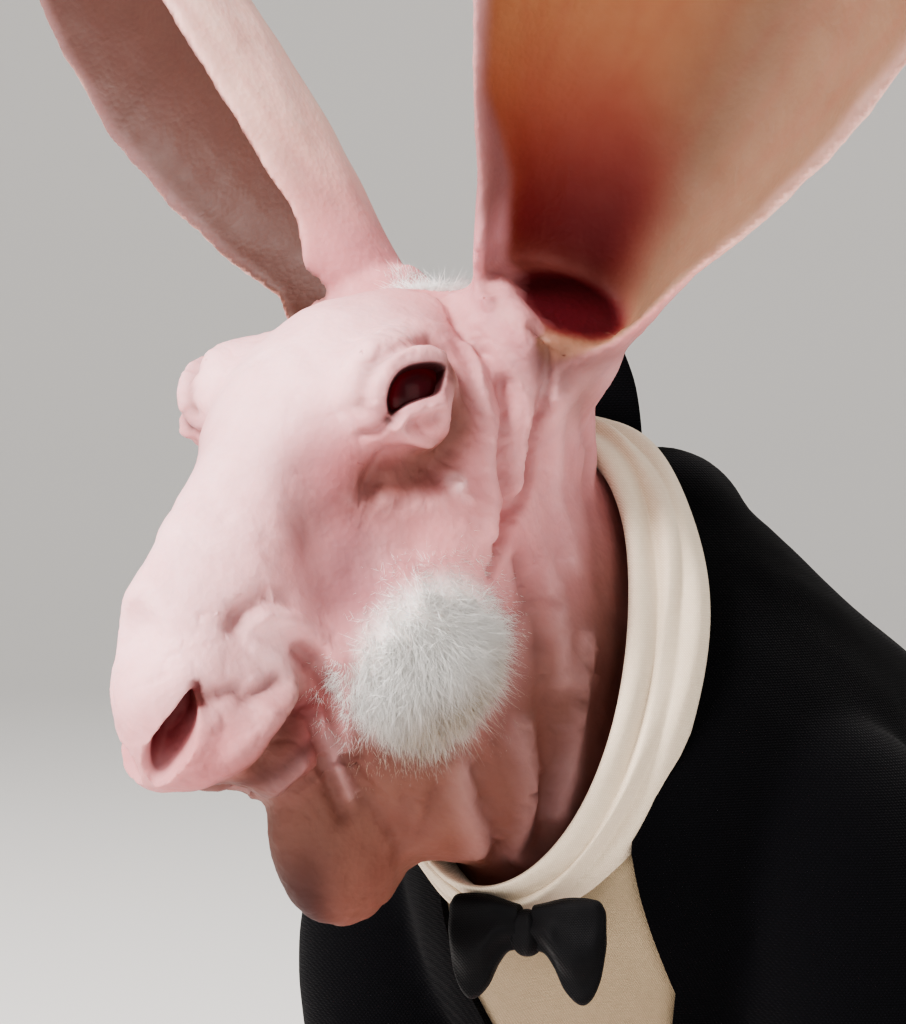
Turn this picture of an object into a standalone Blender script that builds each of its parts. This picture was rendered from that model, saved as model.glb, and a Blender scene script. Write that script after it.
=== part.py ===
"""A hairless rabbit that sits up in a small knitted coat, life size, as a still museum model.

It faces -Y with its left side at +X, and rests on its paws and hind feet at z = 0.
The animal is modelled whole and parted by thin cuts. The coat is a shell round it.
"""

import math
import random

import bmesh
import bpy
import numpy as np
from mathutils import Matrix, Vector

# Driving dimensions, in metres
MM = 0.001
GAP = 0.3 * MM
EAR_LENGTH = 112 * MM
EYE_RADIUS = 6.7 * MM
LID_THICKNESS = 1.1 * MM
EAR_THICKNESS = 1.7 * MM

# The head's place: the point midway between the eyes, then its turn to the right and its nod
EYES_AT = Vector((-17, -103, 165)) * MM
HEAD_TURN = math.radians(-12)
HEAD_NOD = math.radians(49)

# The neck opening of the coat: its centre, and the tilt of its plane from the vertical
OPENING_AT = Vector((-3, -63.2, 129.6)) * MM
OPENING_TILT = math.radians(21)

# Detail: the grid that fuses the masses, and how many triangles the parts keep
FUSE_GRID = 1.4 * MM
FUSE_ROUNDS = 9
FIRST_TRIANGLES = 12500
ANIMAL_TRIANGLES = 7200
HEAD_REACH = 48 * MM
COAT_TRIANGLES = 850

SIDES = {"left": 1, "right": -1}
SOLE_LEVEL = 0.3 * MM
EAR_SEAT_RADIUS = 15 * MM
EAR_SEAT_HEIGHT = 18 * MM

SKIN = (0.84, 0.62, 0.59)
SKIN_DARK = (0.55, 0.30, 0.27)
EYE_RED = (0.10, 0.01, 0.015)
CLOTH_BLACK = (0.012, 0.013, 0.017)
CLOTH_CREAM = (0.80, 0.72, 0.60)
BOW_BLACK = (0.010, 0.010, 0.013)
# Colour, roughness and gloss, by the first word of a part's name
LOOKS = {
    "eye": (EYE_RED, 0.1, 1.0),
    "coat": (CLOTH_BLACK, 0.9),
    "bow": (BOW_BLACK, 0.6),
    "collar": (CLOTH_CREAM, 0.85),
    "shirt": (CLOTH_CREAM, 0.85),
    "neck": (SKIN_DARK, 0.5),
    "": (SKIN, 0.5),
}

FORWARD = Vector((math.sin(HEAD_TURN), -math.cos(HEAD_TURN), 0))
HEAD_SIDE = Vector((math.cos(HEAD_TURN), math.sin(HEAD_TURN), 0))
FACE = FORWARD * math.cos(HEAD_NOD) - Vector((0, 0, 1)) * math.sin(HEAD_NOD)
CROWN = FORWARD * math.sin(HEAD_NOD) + Vector((0, 0, 1)) * math.cos(HEAD_NOD)
HEAD_AXES = Matrix((FACE, HEAD_SIDE, CROWN)).transposed()
BODY_AXES = Matrix(((0, 1, 0), (1, 0, 0), (0, 0, 1)))
OPENING_NORMAL = Vector((0, -math.cos(OPENING_TILT), math.sin(OPENING_TILT)))
OPENING_UP = Vector((0, math.sin(OPENING_TILT), math.cos(OPENING_TILT)))

# The skull and jaw, in mm in the head's own axes: along the face, to the crown, half width, rise, drop
HEAD_PATH = (
    (45, -8, 3.0, 3.5, 6.5),
    (43.5, -10, 6.0, 7.5, 12.5),
    (40, -11, 8.0, 12.0, 18.0),
    (33, -12, 9.0, 15.0, 20.5),
    (24, -12.5, 10.5, 18.0, 21.0),
    (14, -13, 12.5, 21.5, 20.5),
    (5, -14, 15.5, 24.0, 20.5),
    (-4, -16, 18.0, 25.0, 21.5),
    (-12, -21, 18.5, 22.5, 20.0),
    (-19, -28, 18.0, 18.5, 18.0),
    (-25, -37, 14.0, 16.0, 16.0),
)
# Masses of the head, in mm, in its own axes (along the face, to the side, to the crown): centre, radii
HEAD_PAIRS = (
    ((37.0, 5.5, -19.0), (7.5, 5.5, 11.5)),  # whisker pads
    ((-2.0, 12.0, -25.0), (14.0, 7.5, 12.5)),  # cheek muscles
    ((18.0, 7.0, -23.0), (14.0, 6.0, 8.0)),  # sides of the lower jaw
)
HEAD_MIDDLES = (
    ((39.6, 0.0, -5.5), (5.5, 6.0, 6.0)),  # nose
    ((31.0, 0.0, -28.0), (7.5, 6.0, 6.0)),  # chin
)
EYE_CENTRE = (0.6, 12.7, -1.8)

# Openings of the head, in mm in its own axes: centre, radii, and a turn in the side's plane, in degrees
EYE_OPENING = ((-1.0, 20.5, -1.0), (6.4, 5.5, 4.0), -23)
NOSTRIL = ((44.5, 4.2, -9.0), (2.4, 1.2, 3.4), -25)
# The line of the mouth: where it is seen from, its spread to each side in degrees, its corner's sag
MOUTH_FROM = (30.0, 0.0, -26.0)
MOUTH_SPREAD = 80
MOUTH_SAG = 3.0
MOUTH_DEPTH = 1.0 * MM

# Ridges and creases of the head, alike on both sides, in mm: rise, half width, then the line that each
# follows (along the face, to the side, to the crown)
HEAD_STROKES = (
    (0.8, 1.5, ((6, 18, 0.6), (3, 18, 4.2), (-3, 18, 4.8), (-8, 17, 2.0), (-9.5, 16, -3))),  # upper lid
    (1.0, 1.4, ((6, 18, 0), (3, 18, -4), (-2.5, 18, -6.6), (-8, 17, -7))),  # lower lid
    (-1.0, 1.1, ((8, 16, 1.5), (4.5, 16, 6.4), (-3.5, 15, 7.4), (-9.5, 14, 5))),  # fold over the lid
    (-2.2, 2.8, ((8, 15, -7.5), (2.5, 16, -11), (-4, 17, -13), (-10, 17, -10))),  # hollow under the eye
    (1.4, 1.4, ((0, 17.4, -16.6),)),  # wart
    (-1.3, 1.2, ((-25, 4, -7), (-18.5, 12, -8), (-14, 15, -9.5), (-11, 17, -12))),  # folds behind the eye
    (-1.3, 1.3, ((-12.5, 18, -14.5), (-8, 18, -19), (-3, 19, -23), (2, 19, -26))),
    (-1.3, 1.3, ((-19, 19, -17), (-12.5, 18, -22), (-5, 19, -25.5))),
    (0.9, 1.6, ((-14, 18, -16.5), (-9, 18, -21), (-3, 19, -24.5))),
    (-1.3, 1.7, ((33, 8, -4), (28.5, 9, -6), (24.5, 10, -11), (27, 11, -19))),  # edge of the whisker pad
    (0.8, 2.4, ((38, 8, -9), (32, 10, -10), (31, 11, -17))),
    (-1.2, 2.0, ((0, 18, -34), (5, 19, -42), (16, 19, -51), (27, 16, -57))),  # folds of the throat
    (-1.2, 2.0, ((24, 16, -40), (28, 14, -50), (29, 14, -58))),
    (0.8, 2.4, ((-6, 19, -34), (0, 20, -44), (11, 20, -54))),
)
HEAD_WEIGHTS = (1.0, 0.35, 1.0)
# Creases between the toes, in mm: rise, half width, then the line (y, x, z)
TOE_STROKES = (
    (-1.1, 1.2, ((-78, 19.6, 12), (-91, 19.2, 6))),
    (-1.1, 1.2, ((-78, 24.0, 12), (-91, 24.0, 6))),
    (-1.1, 1.2, ((-78, 28.4, 12), (-91, 28.8, 6))),
    (-1.3, 1.4, ((28, 46.6, 13), (8, 47.0, 6))),
    (-1.3, 1.4, ((28, 51.0, 13), (8, 51.8, 6))),
    (-1.3, 1.4, ((28, 55.4, 13), (8, 56.6, 6))),
)
TOE_WEIGHTS = (1.0, 1.0, 0.35)

# White fur on the cheek: where its patch lies in mm along the face and to the crown, with its radii, how
# far apart the locks are, and the way they lie (along the face, to the crown)
FUR_CENTRE = (20.5, -22.0)
FUR_RADII = (12.5, 10.5)
FUR_STEP = 5.4
FUR_LIE = (-0.45, -0.9)
FUR_FROM = 60
FUR_SPREAD = 22
FUR_SEED = 23
# A lock's sections: share of its length, share of its width, thickness and height off the skin in mm
LOCK_SECTIONS = ((0.0, 0.75, 1.6, -2.6), (0.38, 1.0, 1.5, 0.9), (0.74, 0.7, 1.1, 2.3))
LOCK_TIP = 2.6
LOCK_LENGTH = (10.0, 13.0)
LOCK_WIDTH = (6.0, 7.5)

# Claws, in mm: root (x, y, z), length, radius
CLAWS = (
    ((17.6, -81, 5.2), 10.0, 1.2),
    ((21.8, -84, 5.6), 10.0, 1.2),
    ((26.2, -84, 5.6), 10.0, 1.2),
    ((30.4, -81, 5.2), 10.0, 1.2),
    ((44.8, 19, 5.6), 11.5, 1.4),
    ((49.4, 15, 6.0), 11.5, 1.4),
    ((54.2, 15, 6.0), 11.5, 1.4),
    ((58.8, 19, 5.6), 11.5, 1.4),
)
CLAW_TAPER = 0.35
CLAW_DIRECTION = Vector((0, -1, -0.22)).normalized()

# Torso sections, in mm: x, y, z of the centre, half width, half height
TORSO_SECTIONS = (
    (-3, -62, 130, 14.5, 28.0),
    (-1, -49, 120, 27.0, 36.0),
    (0, -22, 99, 38.5, 43.0),
    (0, 8, 83, 43.0, 46.0),
    (0, 40, 70, 47.0, 46.0),
    (0, 72, 65, 46.0, 42.0),
    (0, 98, 57, 39.0, 36.0),
    (0, 118, 49, 25.0, 26.0),
    (0, 128, 45, 8.0, 10.0),
)
# Neck sections, in mm, in the same order
NECK_SECTIONS = (
    (-2, -50, 121, 17.0, 28.0),
    (-3, -62, 129.5, 14.5, 29.0),
    (-6, -75, 136, 14.5, 32.5),
    (-10, -86, 142, 14.5, 31.0),
    (-14, -93, 151, 10.0, 20.0),
)
DEWLAP = ((-14, -95, 112.8), (7.0, 15.0, 15.0))
THIGH_PATH = (
    (32, 118, 60, 6.0, 8.0),
    (38, 108, 62, 15.0, 24.0),
    (42, 90, 60, 20.5, 34.0),
    (45, 70, 55, 20.5, 35.0),
    (47, 52, 48, 17.0, 27.0),
    (48, 40, 42, 12.0, 17.0),
    (48, 33, 38, 5.0, 7.0),
)
HOCK = ((47, 94, 20), (11, 19, 16))
# Limb paths, in mm: x, y, z, half width, half height
FORELEG_PATH = (
    (20, -34, 118, 7.0, 9.0),
    (29, -38, 106, 14.0, 17.0),
    (34, -40, 88, 14.5, 16.5),
    (33, -42, 66, 11.5, 12.5),
    (28.5, -51, 42, 8.5, 9.5),
    (25, -60, 22, 7.5, 8.0),
    (24, -67, 10, 8.5, 8.0),
)
FOREPAW_PATH = (
    (24, -58, 11, 6.0, 6.0),
    (24, -66, 8, 8.5, 9.0),
    (24, -76, 6.5, 9.5, 8.0),
    (24, -84, 5.0, 8.5, 6.5),
    (24, -89, 4.0, 4.0, 3.5),
)
HIND_FOOT_PATH = (
    (43, 118, 9, 4.0, 5.0),
    (43, 112, 9.5, 9.0, 10.5),
    (44, 98, 10.5, 10.5, 12.0),
    (46, 72, 8, 10.0, 9.5),
    (48, 46, 7, 11.0, 8.5),
    (50, 26, 6.5, 12.5, 8.0),
    (51, 15, 5, 11.0, 7.0),
    (52, 9, 4, 5.0, 4.0),
)
TAIL_PATH = (
    (0, 116, 44, 9.0, 9.0),
    (0, 128, 45, 7.5, 7.0),
    (0, 138, 51, 6.0, 5.5),
    (0, 145, 60, 4.5, 4.2),
    (0, 148, 68, 2.0, 2.0),
)

# The ears. Each row: share of the length, width across the leaf in mm, how far it is rolled, in radians
EAR_ROWS = (
    (0.00, 48, 5.6),
    (0.06, 45, 4.3),
    (0.14, 43, 3.3),
    (0.24, 54, 2.95),
    (0.36, 63, 2.65),
    (0.50, 68, 2.35),
    (0.64, 63, 2.15),
    (0.77, 52, 1.8),
    (0.88, 37, 1.5),
    (0.96, 20, 1.2),
    (1.00, 7, 1.1),
)
EAR_ROOT = (-28.0, 15.5, -17.0)
EAR_SPREAD = 0.76
EAR_LEAN = 0.21
EAR_OPENS = (0.64, 0.77)
EAR_BEND = 0.05
EAR_ROOT_RADIUS = 8.0 * MM
EAR_BELLY = 4.5 * MM
EAR_BELLY_END = 0.85
# The ear's base, in mm: how far along the ear, radius
EAR_STUMP = ((-18, 6.0), (-11, 9.5), (-5, 11.0), (4, 11.0))
EAR_STEPS = 17
EAR_START = -0.4
EAR_COLUMNS = 10

# Thin cuts that part the animal, in mm: centre, normal, radius
CUTS = (
    ((-7, -74, 141), (0.28, 0.88, -0.38), 55),
    ((-3, -60.5, 130.5), (0, 0.93, -0.36), 44),
    ((0, 137, 50.5), (0, 0.75, 0.66), 17),
    ((30, -47, 54), (0.12, 0.35, 0.93), 16),
    ((-30, -47, 54), (-0.12, 0.35, 0.93), 16),
)
# The ball whose surface parts the thigh from the torso and from the foot, in mm
THIGH_CUT = ((45, 76, 58), (29, 54, 47))
# The middle of each part, in mm, by which it is told from the others
MIDDLES = {
    "head": (-18, -105, 148),
    "neck": (-4, -68, 135),
    "torso": (0, 20, 80),
    "tail": (0, 136, 50),
    "foreleg_left": (26, -60, 30),
    "foreleg_right": (-26, -60, 30),
    "thigh_left": (48, 80, 60),
    "thigh_right": (-48, 80, 60),
    "hind_foot_left": (48, 50, 8),
    "hind_foot_right": (-48, 50, 8),
}

# The coat: how far it stands off the skin, its hem, and the path of its sleeves
COAT_STAND_OFF = 2.8
COAT_GAP = 0.35 * MM
COAT_HEM_AT = Vector((0, 44, 80)) * MM
COAT_HEM_NORMAL = Vector((0, 0.87, -0.5)).normalized()
COAT_EDGE_DEPTH = -0.5 * MM
SLEEVE_PATH = (
    (20, -34, 118, 7.0, 9.0),
    (29, -38, 106, 14.0, 17.0),
    (34, -40, 88, 15.5, 17.5),
    (33, -42, 66, 13.0, 13.5),
    (30.0, -47, 50, 12.0, 12.0),
)
# The loose fold over the shoulders, and the tab that stands up at the nape: x, y, z, half width, half depth
NAPE_FOLD = ((0, -37, 139.5), (15, 15, 18))
NAPE_TAB = (
    (-5, -43, 150, 7.5, 1.8),
    (-5, -43, 160, 7.2, 1.5),
    (-5, -43.5, 168, 6.4, 1.3),
    (-5, -44, 174, 4.4, 0.8),
)
# The block that cuts each sleeve level at its cuff, in mm: radius, height
SLEEVE_CUT = (22, 36)
# The cream front: the outline that it fills between the coat's edges, in mm: x, z
FRONT_OUTLINE = ((-12, 118), (-12, 90), (-9, 74), (-3, 63), (4, 63), (11, 74), (14, 90), (13, 118))
FRONT_FROM = -55
FRONT_DEPTH = 40
FRONT_GAP = 0.4
# The collar's profile, in mm: outward from the neck, forward along the neck
COLLAR_PROFILE = (
    (0.8, -2.6),
    (0.8, 4.0),
    (1.2, 7.2),
    (2.8, 8.8),
    (4.6, 8.0),
    (5.3, 6.0),
    (6.6, 3.0),
    (8.6, -0.6),
    (8.4, -2.6),
)
COLLAR_COUNT = 26
COLLAR_HALF_WIDTH = 14.5
COLLAR_HALF_HEIGHT = 28.5
# The bow: where its knot sits, and its wing's outline from the knot outward, in mm: x, low z, high z
BOW_AT = Vector((5.5, -83, 94.5)) * MM
BOW_TURN = math.radians(8)
WING_ROWS = (
    (3.5, -2.8, 2.8, 1.6),
    (5.5, -5.2, 4.0, 2.2),
    (8.0, -9.0, 5.0, 2.4),
    (10.4, -10.0, 5.4, 2.2),
    (12.2, -7.6, 4.8, 1.6),
    (13.2, -4.5, 2.5, 0.8),
)
KNOT_RADII = (3.1, 2.6, 3.8)


def clear_scene():
    for obj in list(bpy.data.objects):
        bpy.data.objects.remove(obj)


def add_object(name, bm):
    """A new object in the scene from a bmesh, which is freed."""
    mesh = bpy.data.meshes.new(name)
    bm.normal_update()
    bm.to_mesh(mesh)
    bm.free()
    obj = bpy.data.objects.new(name, mesh)
    bpy.context.scene.collection.objects.link(obj)
    return obj


def copy_of(obj, name):
    made = bpy.data.objects.new(name, obj.data.copy())
    bpy.context.scene.collection.objects.link(made)
    return made


def apply_modifiers(obj):
    """Turns the object's evaluated shape into its own mesh."""
    graph = bpy.context.evaluated_depsgraph_get()
    mesh = bpy.data.meshes.new_from_object(obj.evaluated_get(graph))
    obj.modifiers.clear()
    obj.data = mesh
    return obj


def smooth_rows(rows, steps):
    """Catmull-Rom rows through the given rows, with a number of steps between each two."""
    rows = np.array(rows, float)
    padded = np.vstack([2 * rows[0] - rows[1], rows, 2 * rows[-1] - rows[-2]])
    made = []
    for i in range(1, len(padded) - 2):
        a, b, c, d = padded[i - 1 : i + 3]
        for step in range(steps):
            t = step / steps
            made.append(
                0.5 * (2 * b + (c - a) * t + (2 * a - 5 * b + 4 * c - d) * t**2)
                + 0.5 * (3 * b - a - 3 * c + d) * t**3
            )
    made.append(rows[-1])
    return np.array(made)


def ring(centre, side, up, half_width, rise, drop, points=28):
    """An oval ring of points round a centre, as high as rise above it and as low as drop below it."""
    made = []
    for i in range(points):
        angle = 2 * math.pi * i / points
        height = math.sin(angle) * (rise if math.sin(angle) > 0 else drop)
        made.append(centre + side * (math.cos(angle) * half_width) + up * height)
    return made


def loft(name, rings):
    """A closed body through rings of points, with both ends capped."""
    bm = bmesh.new()
    rows = [[bm.verts.new(point) for point in points] for points in rings]
    for low, high in zip(rows, rows[1:]):
        for i in range(len(low)):
            j = (i + 1) % len(low)
            bm.faces.new((low[i], low[j], high[j], high[i]))
    bm.faces.new(rows[0])
    bm.faces.new(rows[-1])
    bmesh.ops.recalc_face_normals(bm, faces=bm.faces)
    return add_object(name, bm)


def path_loft(name, path, mirror=1, grow=0.0, steps=4, points=28):
    """A limb or trunk: oval sections square to a path of rows (x, y, z, half width, half height), in mm."""
    rows = smooth_rows(path, steps) * MM
    centres = [Vector((mirror * row[0], row[1], row[2])) for row in rows]
    rings = []
    for i, row in enumerate(rows):
        ahead = centres[min(i + 1, len(rows) - 1)] - centres[max(i - 1, 0)]
        tangent = ahead.normalized()
        side = Vector((1, 0, 0))
        side = (side - tangent * side.dot(tangent)).normalized()
        up = side.cross(tangent)
        wide, high = row[3] + grow * MM, row[4] + grow * MM
        rings.append(ring(centres[i], side, up, wide, high, high, points))
    return loft(name, rings)


def ellipsoid(name, centre, radii, axes=None, segments=24):
    bm = bmesh.new()
    bmesh.ops.create_uvsphere(bm, u_segments=segments, v_segments=segments // 2, radius=1)
    turn = (axes or Matrix.Identity(3)).to_4x4()
    place = Matrix.Translation(centre) @ turn @ Matrix.Diagonal((*radii, 1))
    bmesh.ops.transform(bm, matrix=place, verts=bm.verts)
    return add_object(name, bm)


def in_head(point):
    """A point given in mm in the head's own axes, in the model's frame."""
    return EYES_AT + HEAD_AXES @ (Vector(point) * MM)


def head_masses():
    """The skull with the jaw, the pads, cheeks and lids, and the stumps that carry the ears."""
    rows = smooth_rows(HEAD_PATH, 3)
    rings = []
    for i, (f, u, wide, rise, drop) in enumerate(rows):
        ahead = rows[min(i + 1, len(rows) - 1)] - rows[max(i - 1, 0)]
        tangent = (FACE * -ahead[0] + CROWN * -ahead[1]).normalized()
        up = tangent.cross(HEAD_SIDE) * -1
        rings.append(ring(in_head((f, 0, u)), HEAD_SIDE, up, wide * MM, rise * MM, drop * MM))
    masses = [loft("skull", rings)]
    for centre, radii in HEAD_MIDDLES:
        masses.append(ellipsoid("mass", in_head(centre), Vector(radii) * MM, HEAD_AXES))
    for mirror in SIDES.values():
        for (f, side, up), radii in HEAD_PAIRS:
            place = in_head((f, mirror * side, up))
            masses.append(ellipsoid("mass", place, Vector(radii) * MM, HEAD_AXES))
        lid = EYE_RADIUS + GAP + LID_THICKNESS
        masses.append(ellipsoid("lids", eye_centre(mirror), (lid, lid, lid)))
    return masses


def eye_centre(mirror):
    f, side, up = EYE_CENTRE
    return in_head((f, mirror * side, up))


def ear_stump(mirror):
    """The fleshy base that carries an ear, out past the level where the ear begins."""
    along, opens, wide = ear_axes(mirror)
    root = ear_root(mirror)
    rings = []
    for reach, radius in EAR_STUMP:
        centre = root + along * (reach * MM)
        rings.append(ring(centre, wide, opens, radius * MM, radius * MM, radius * MM, points=20))
    return loft("stump", rings)


def body_masses():
    centre, radii = DEWLAP
    masses = [
        path_loft("trunk", TORSO_SECTIONS),
        path_loft("neck", NECK_SECTIONS),
        path_loft("tail", TAIL_PATH),
        ellipsoid("dewlap", Vector(centre) * MM, Vector(radii) * MM),
    ]
    for mirror in SIDES.values():
        masses.append(ear_stump(mirror))
        masses.append(path_loft("foreleg", FORELEG_PATH, mirror))
        masses.append(path_loft("forepaw", FOREPAW_PATH, mirror))
        masses.append(path_loft("hind foot", HIND_FOOT_PATH, mirror))
        masses.append(path_loft("thigh", THIGH_PATH, mirror))
        (x, y, z), radii = HOCK
        place = Vector((mirror * x, y, z)) * MM
        masses.append(ellipsoid("hock", place, Vector(radii) * MM))
    return masses


def join(name, objects):
    """One mesh of several objects' meshes, which are removed."""
    bm = bmesh.new()
    for obj in objects:
        bm.from_mesh(obj.data)
        bpy.data.objects.remove(obj)
    return add_object(name, bm)


def fuse(obj, grid, rounds):
    """Overlapping masses become one smooth closed skin."""
    remesh = obj.modifiers.new("fuse", "REMESH")
    remesh.mode = "VOXEL"
    remesh.voxel_size = grid
    smooth = obj.modifiers.new("soften", "SMOOTH")
    smooth.factor = 0.5
    smooth.iterations = rounds
    return apply_modifiers(obj)


def line_distance(points, line):
    """How far each point is from a line of straight lengths, or from its one point."""
    best = np.linalg.norm(points - line[0], axis=1)
    for start, end in zip(line, line[1:]):
        length = end - start
        share = np.clip((points - start) @ length / (length @ length), 0, 1)
        best = np.minimum(best, np.linalg.norm(points - start - share[:, None] * length, axis=1))
    return best


def sculpt(obj, strokes, origin, axes, weights):
    """Raises ridges and sinks creases along lines drawn on both sides of the body."""
    verts = obj.data.vertices
    places = np.array([vert.co for vert in verts])
    normals = np.array([vert.normal for vert in verts])
    local = (places - np.array(origin)) @ np.array(axes) / MM * weights
    move = np.zeros(len(places))
    for rise, width, line in strokes:
        for mirror in SIDES.values():
            drawn = np.array(line, float) * (1, mirror, 1) * weights
            move += rise * np.exp(-((line_distance(local, drawn) / width) ** 2))
    places += normals * (move * MM)[:, None]
    for vert, place in zip(verts, places):
        vert.co = place
    return obj


def thin_out(obj, triangles, fine_near=None):
    """Fewer faces where the form is plain, and more of them kept within reach of a point."""
    count = sum(len(face.vertices) - 2 for face in obj.data.polygons)
    decimate = obj.modifiers.new("thin out", "DECIMATE")
    decimate.ratio = min(1.0, triangles / count)
    decimate.use_collapse_triangulate = True
    if fine_near is not None:
        group = obj.vertex_groups.new(name="plain")
        for vert in obj.data.vertices:
            far = (vert.co - fine_near).length > HEAD_REACH
            group.add([vert.index], float(far), "REPLACE")
        decimate.vertex_group = group.name
    return apply_modifiers(obj)


def ear_axes(mirror):
    """The direction that an ear grows in, its opening's direction square to that, and its width's."""
    along = FORWARD * EAR_LEAN + HEAD_SIDE * (mirror * EAR_SPREAD) + Vector((0, 0, 1))
    along.normalize()
    opens = FORWARD * EAR_OPENS[1] + HEAD_SIDE * (mirror * EAR_OPENS[0])
    opens = (opens - along * opens.dot(along)).normalized()
    return along, opens, opens.cross(along)


def ear_root(mirror):
    f, side, up = EAR_ROOT
    return in_head((f, mirror * side, up))


def ear_point(mirror, share, across):
    """A point on the back of the ear's leaf: share of its length, and across from -1 to 1."""
    along, opens, wide = ear_axes(mirror)
    rows = np.array(EAR_ROWS)
    width = np.interp(share, rows[:, 0], rows[:, 1]) * MM
    roll = np.interp(share, rows[:, 0], rows[:, 2])
    radius = width / roll
    angle = across * roll / 2
    back = EAR_ROOT_RADIUS + EAR_BELLY * math.sin(math.pi * min(1, max(0, share / EAR_BELLY_END)))
    spine = ear_root(mirror) + along * (share * EAR_LENGTH) - opens * back
    spine += HEAD_SIDE * (mirror * EAR_BEND * EAR_LENGTH * share**2 / 2)
    return spine + wide * (math.sin(angle) * radius) + opens * (radius * (1 - math.cos(angle)))


def ear(name, mirror):
    """A leaf rolled into a cup at its root, given its thickness on the inside."""
    bm = bmesh.new()
    rows = []
    for i in range(EAR_STEPS + 1):
        share = (i + EAR_START) / (EAR_STEPS + EAR_START)
        points = [ear_point(mirror, share, 2 * j / EAR_COLUMNS - 1) for j in range(EAR_COLUMNS + 1)]
        rows.append([bm.verts.new(point) for point in points])
    for low, high in zip(rows, rows[1:]):
        for j in range(EAR_COLUMNS):
            bm.faces.new((low[j], high[j], high[j + 1], low[j + 1]))
    bmesh.ops.triangulate(bm, faces=bm.faces)
    if mirror < 0:
        bmesh.ops.reverse_faces(bm, faces=bm.faces)
    leaf = add_object(name, bm)
    thicken = leaf.modifiers.new("thickness", "SOLIDIFY")
    thicken.thickness = EAR_THICKNESS
    apply_modifiers(leaf)
    return slice_off(leaf, ear_root(mirror), -ear_axes(mirror)[0])


def plate(centre, normal, radius, thickness):
    """A disc square to the normal."""
    bm = bmesh.new()
    bmesh.ops.create_cone(
        bm, cap_ends=True, segments=20, radius1=radius, radius2=radius, depth=thickness
    )
    turn = Vector(normal).to_track_quat("Z", "Y").to_matrix().to_4x4()
    bmesh.ops.transform(bm, matrix=Matrix.Translation(centre) @ turn, verts=bm.verts)
    return add_object("plate", bm)


def boolean(target, cutter, operation, keep=False):
    """One applied Boolean between two closed bodies."""
    step = target.modifiers.new(operation.lower(), "BOOLEAN")
    step.operation = operation
    step.object = cutter
    apply_modifiers(target)
    if not keep:
        bpy.data.objects.remove(cutter)
    return target


def shell(centre, radii, thickness):
    """The thin wall between two nested balls."""
    wall = ellipsoid("wall", centre, radii, segments=18)
    inner = ellipsoid("inner", centre, [radius - thickness for radius in radii], segments=18)
    return boolean(wall, inner, "DIFFERENCE")


def loose_parts(obj):
    """The separate closed surfaces of an object, each as an object, the largest first."""
    bm = bmesh.new()
    bm.from_mesh(obj.data)
    bpy.data.objects.remove(obj)
    left = set(bm.verts)
    groups = []
    while left:
        seed = left.pop()
        group = {seed}
        edge = [seed]
        while edge:
            vert = edge.pop()
            for link in vert.link_edges:
                other = link.other_vert(vert)
                if other in left:
                    left.discard(other)
                    group.add(other)
                    edge.append(other)
        groups.append(group)
    groups.sort(key=len, reverse=True)
    made = []
    for group in groups:
        part = bm.copy()
        part.verts.ensure_lookup_table()
        keep = {vert.index for vert in group}
        bmesh.ops.delete(part, geom=[v for v in part.verts if v.index not in keep], context="VERTS")
        made.append(add_object("part", part))
    bm.free()
    return made


def middle_of(obj):
    return sum((vert.co for vert in obj.data.vertices), Vector()) / len(obj.data.vertices)


def part_animal(animal):
    """Parts the animal by thin cuts, and names each piece by the middle that it lies nearest to."""
    for centre, normal, radius in CUTS:
        disc = plate(Vector(centre) * MM, normal, radius * MM, GAP)
        boolean(animal, disc, "DIFFERENCE")
    for mirror in SIDES.values():
        (x, y, z), radii = THIGH_CUT
        wall = shell(Vector((mirror * x, y, z)) * MM, Vector(radii) * MM, GAP)
        boolean(animal, wall, "DIFFERENCE")
    named = {}
    pieces = loose_parts(animal)
    for crumb in pieces[len(MIDDLES) :]:
        bpy.data.objects.remove(crumb)
    for piece in pieces[: len(MIDDLES)]:
        place = middle_of(piece)
        name = min(MIDDLES, key=lambda key: (Vector(MIDDLES[key]) * MM - place).length)
        piece.name = name
        named[name] = piece
    return named


def unite(body, pieces):
    """Joins closed pieces to the body that they grow from, by one Boolean on their collection."""
    name = body.name
    group = bpy.data.collections.new("pieces")
    for piece in pieces:
        group.objects.link(piece)
    step = body.modifiers.new("unite", "BOOLEAN")
    step.operation = "UNION"
    step.operand_type = "COLLECTION"
    step.collection = group
    apply_modifiers(body)
    for piece in pieces:
        bpy.data.objects.remove(piece)
    bpy.data.collections.remove(group)
    return keep_largest(body, name)


def lock(root, normal, lie, length, width):
    """A flat, tapered lock that leaves the skin at a slant and bends along its lie."""
    lie = (lie - normal * lie.dot(normal)).normalized()
    across = lie.cross(normal)
    bm = bmesh.new()
    rows = []
    for share, wide, thick, height in LOCK_SECTIONS:
        centre = root + lie * (share * length * MM) + normal * (height * MM)
        row = ring(centre, across, normal, wide * width / 2 * MM, thick / 2 * MM, thick / 2 * MM, points=4)
        rows.append([bm.verts.new(point) for point in row])
    tip = bm.verts.new(root + lie * (length * MM) + normal * (LOCK_TIP * MM))
    for low, high in zip(rows, rows[1:]):
        for i in range(len(low)):
            j = (i + 1) % len(low)
            bm.faces.new((low[i], low[j], high[j], high[i]))
    last = rows[-1]
    for i in range(len(last)):
        bm.faces.new((last[i], last[(i + 1) % len(last)], tip))
    bm.faces.new(rows[0])
    bmesh.ops.recalc_face_normals(bm, faces=bm.faces)
    return add_object("lock", bm)


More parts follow.
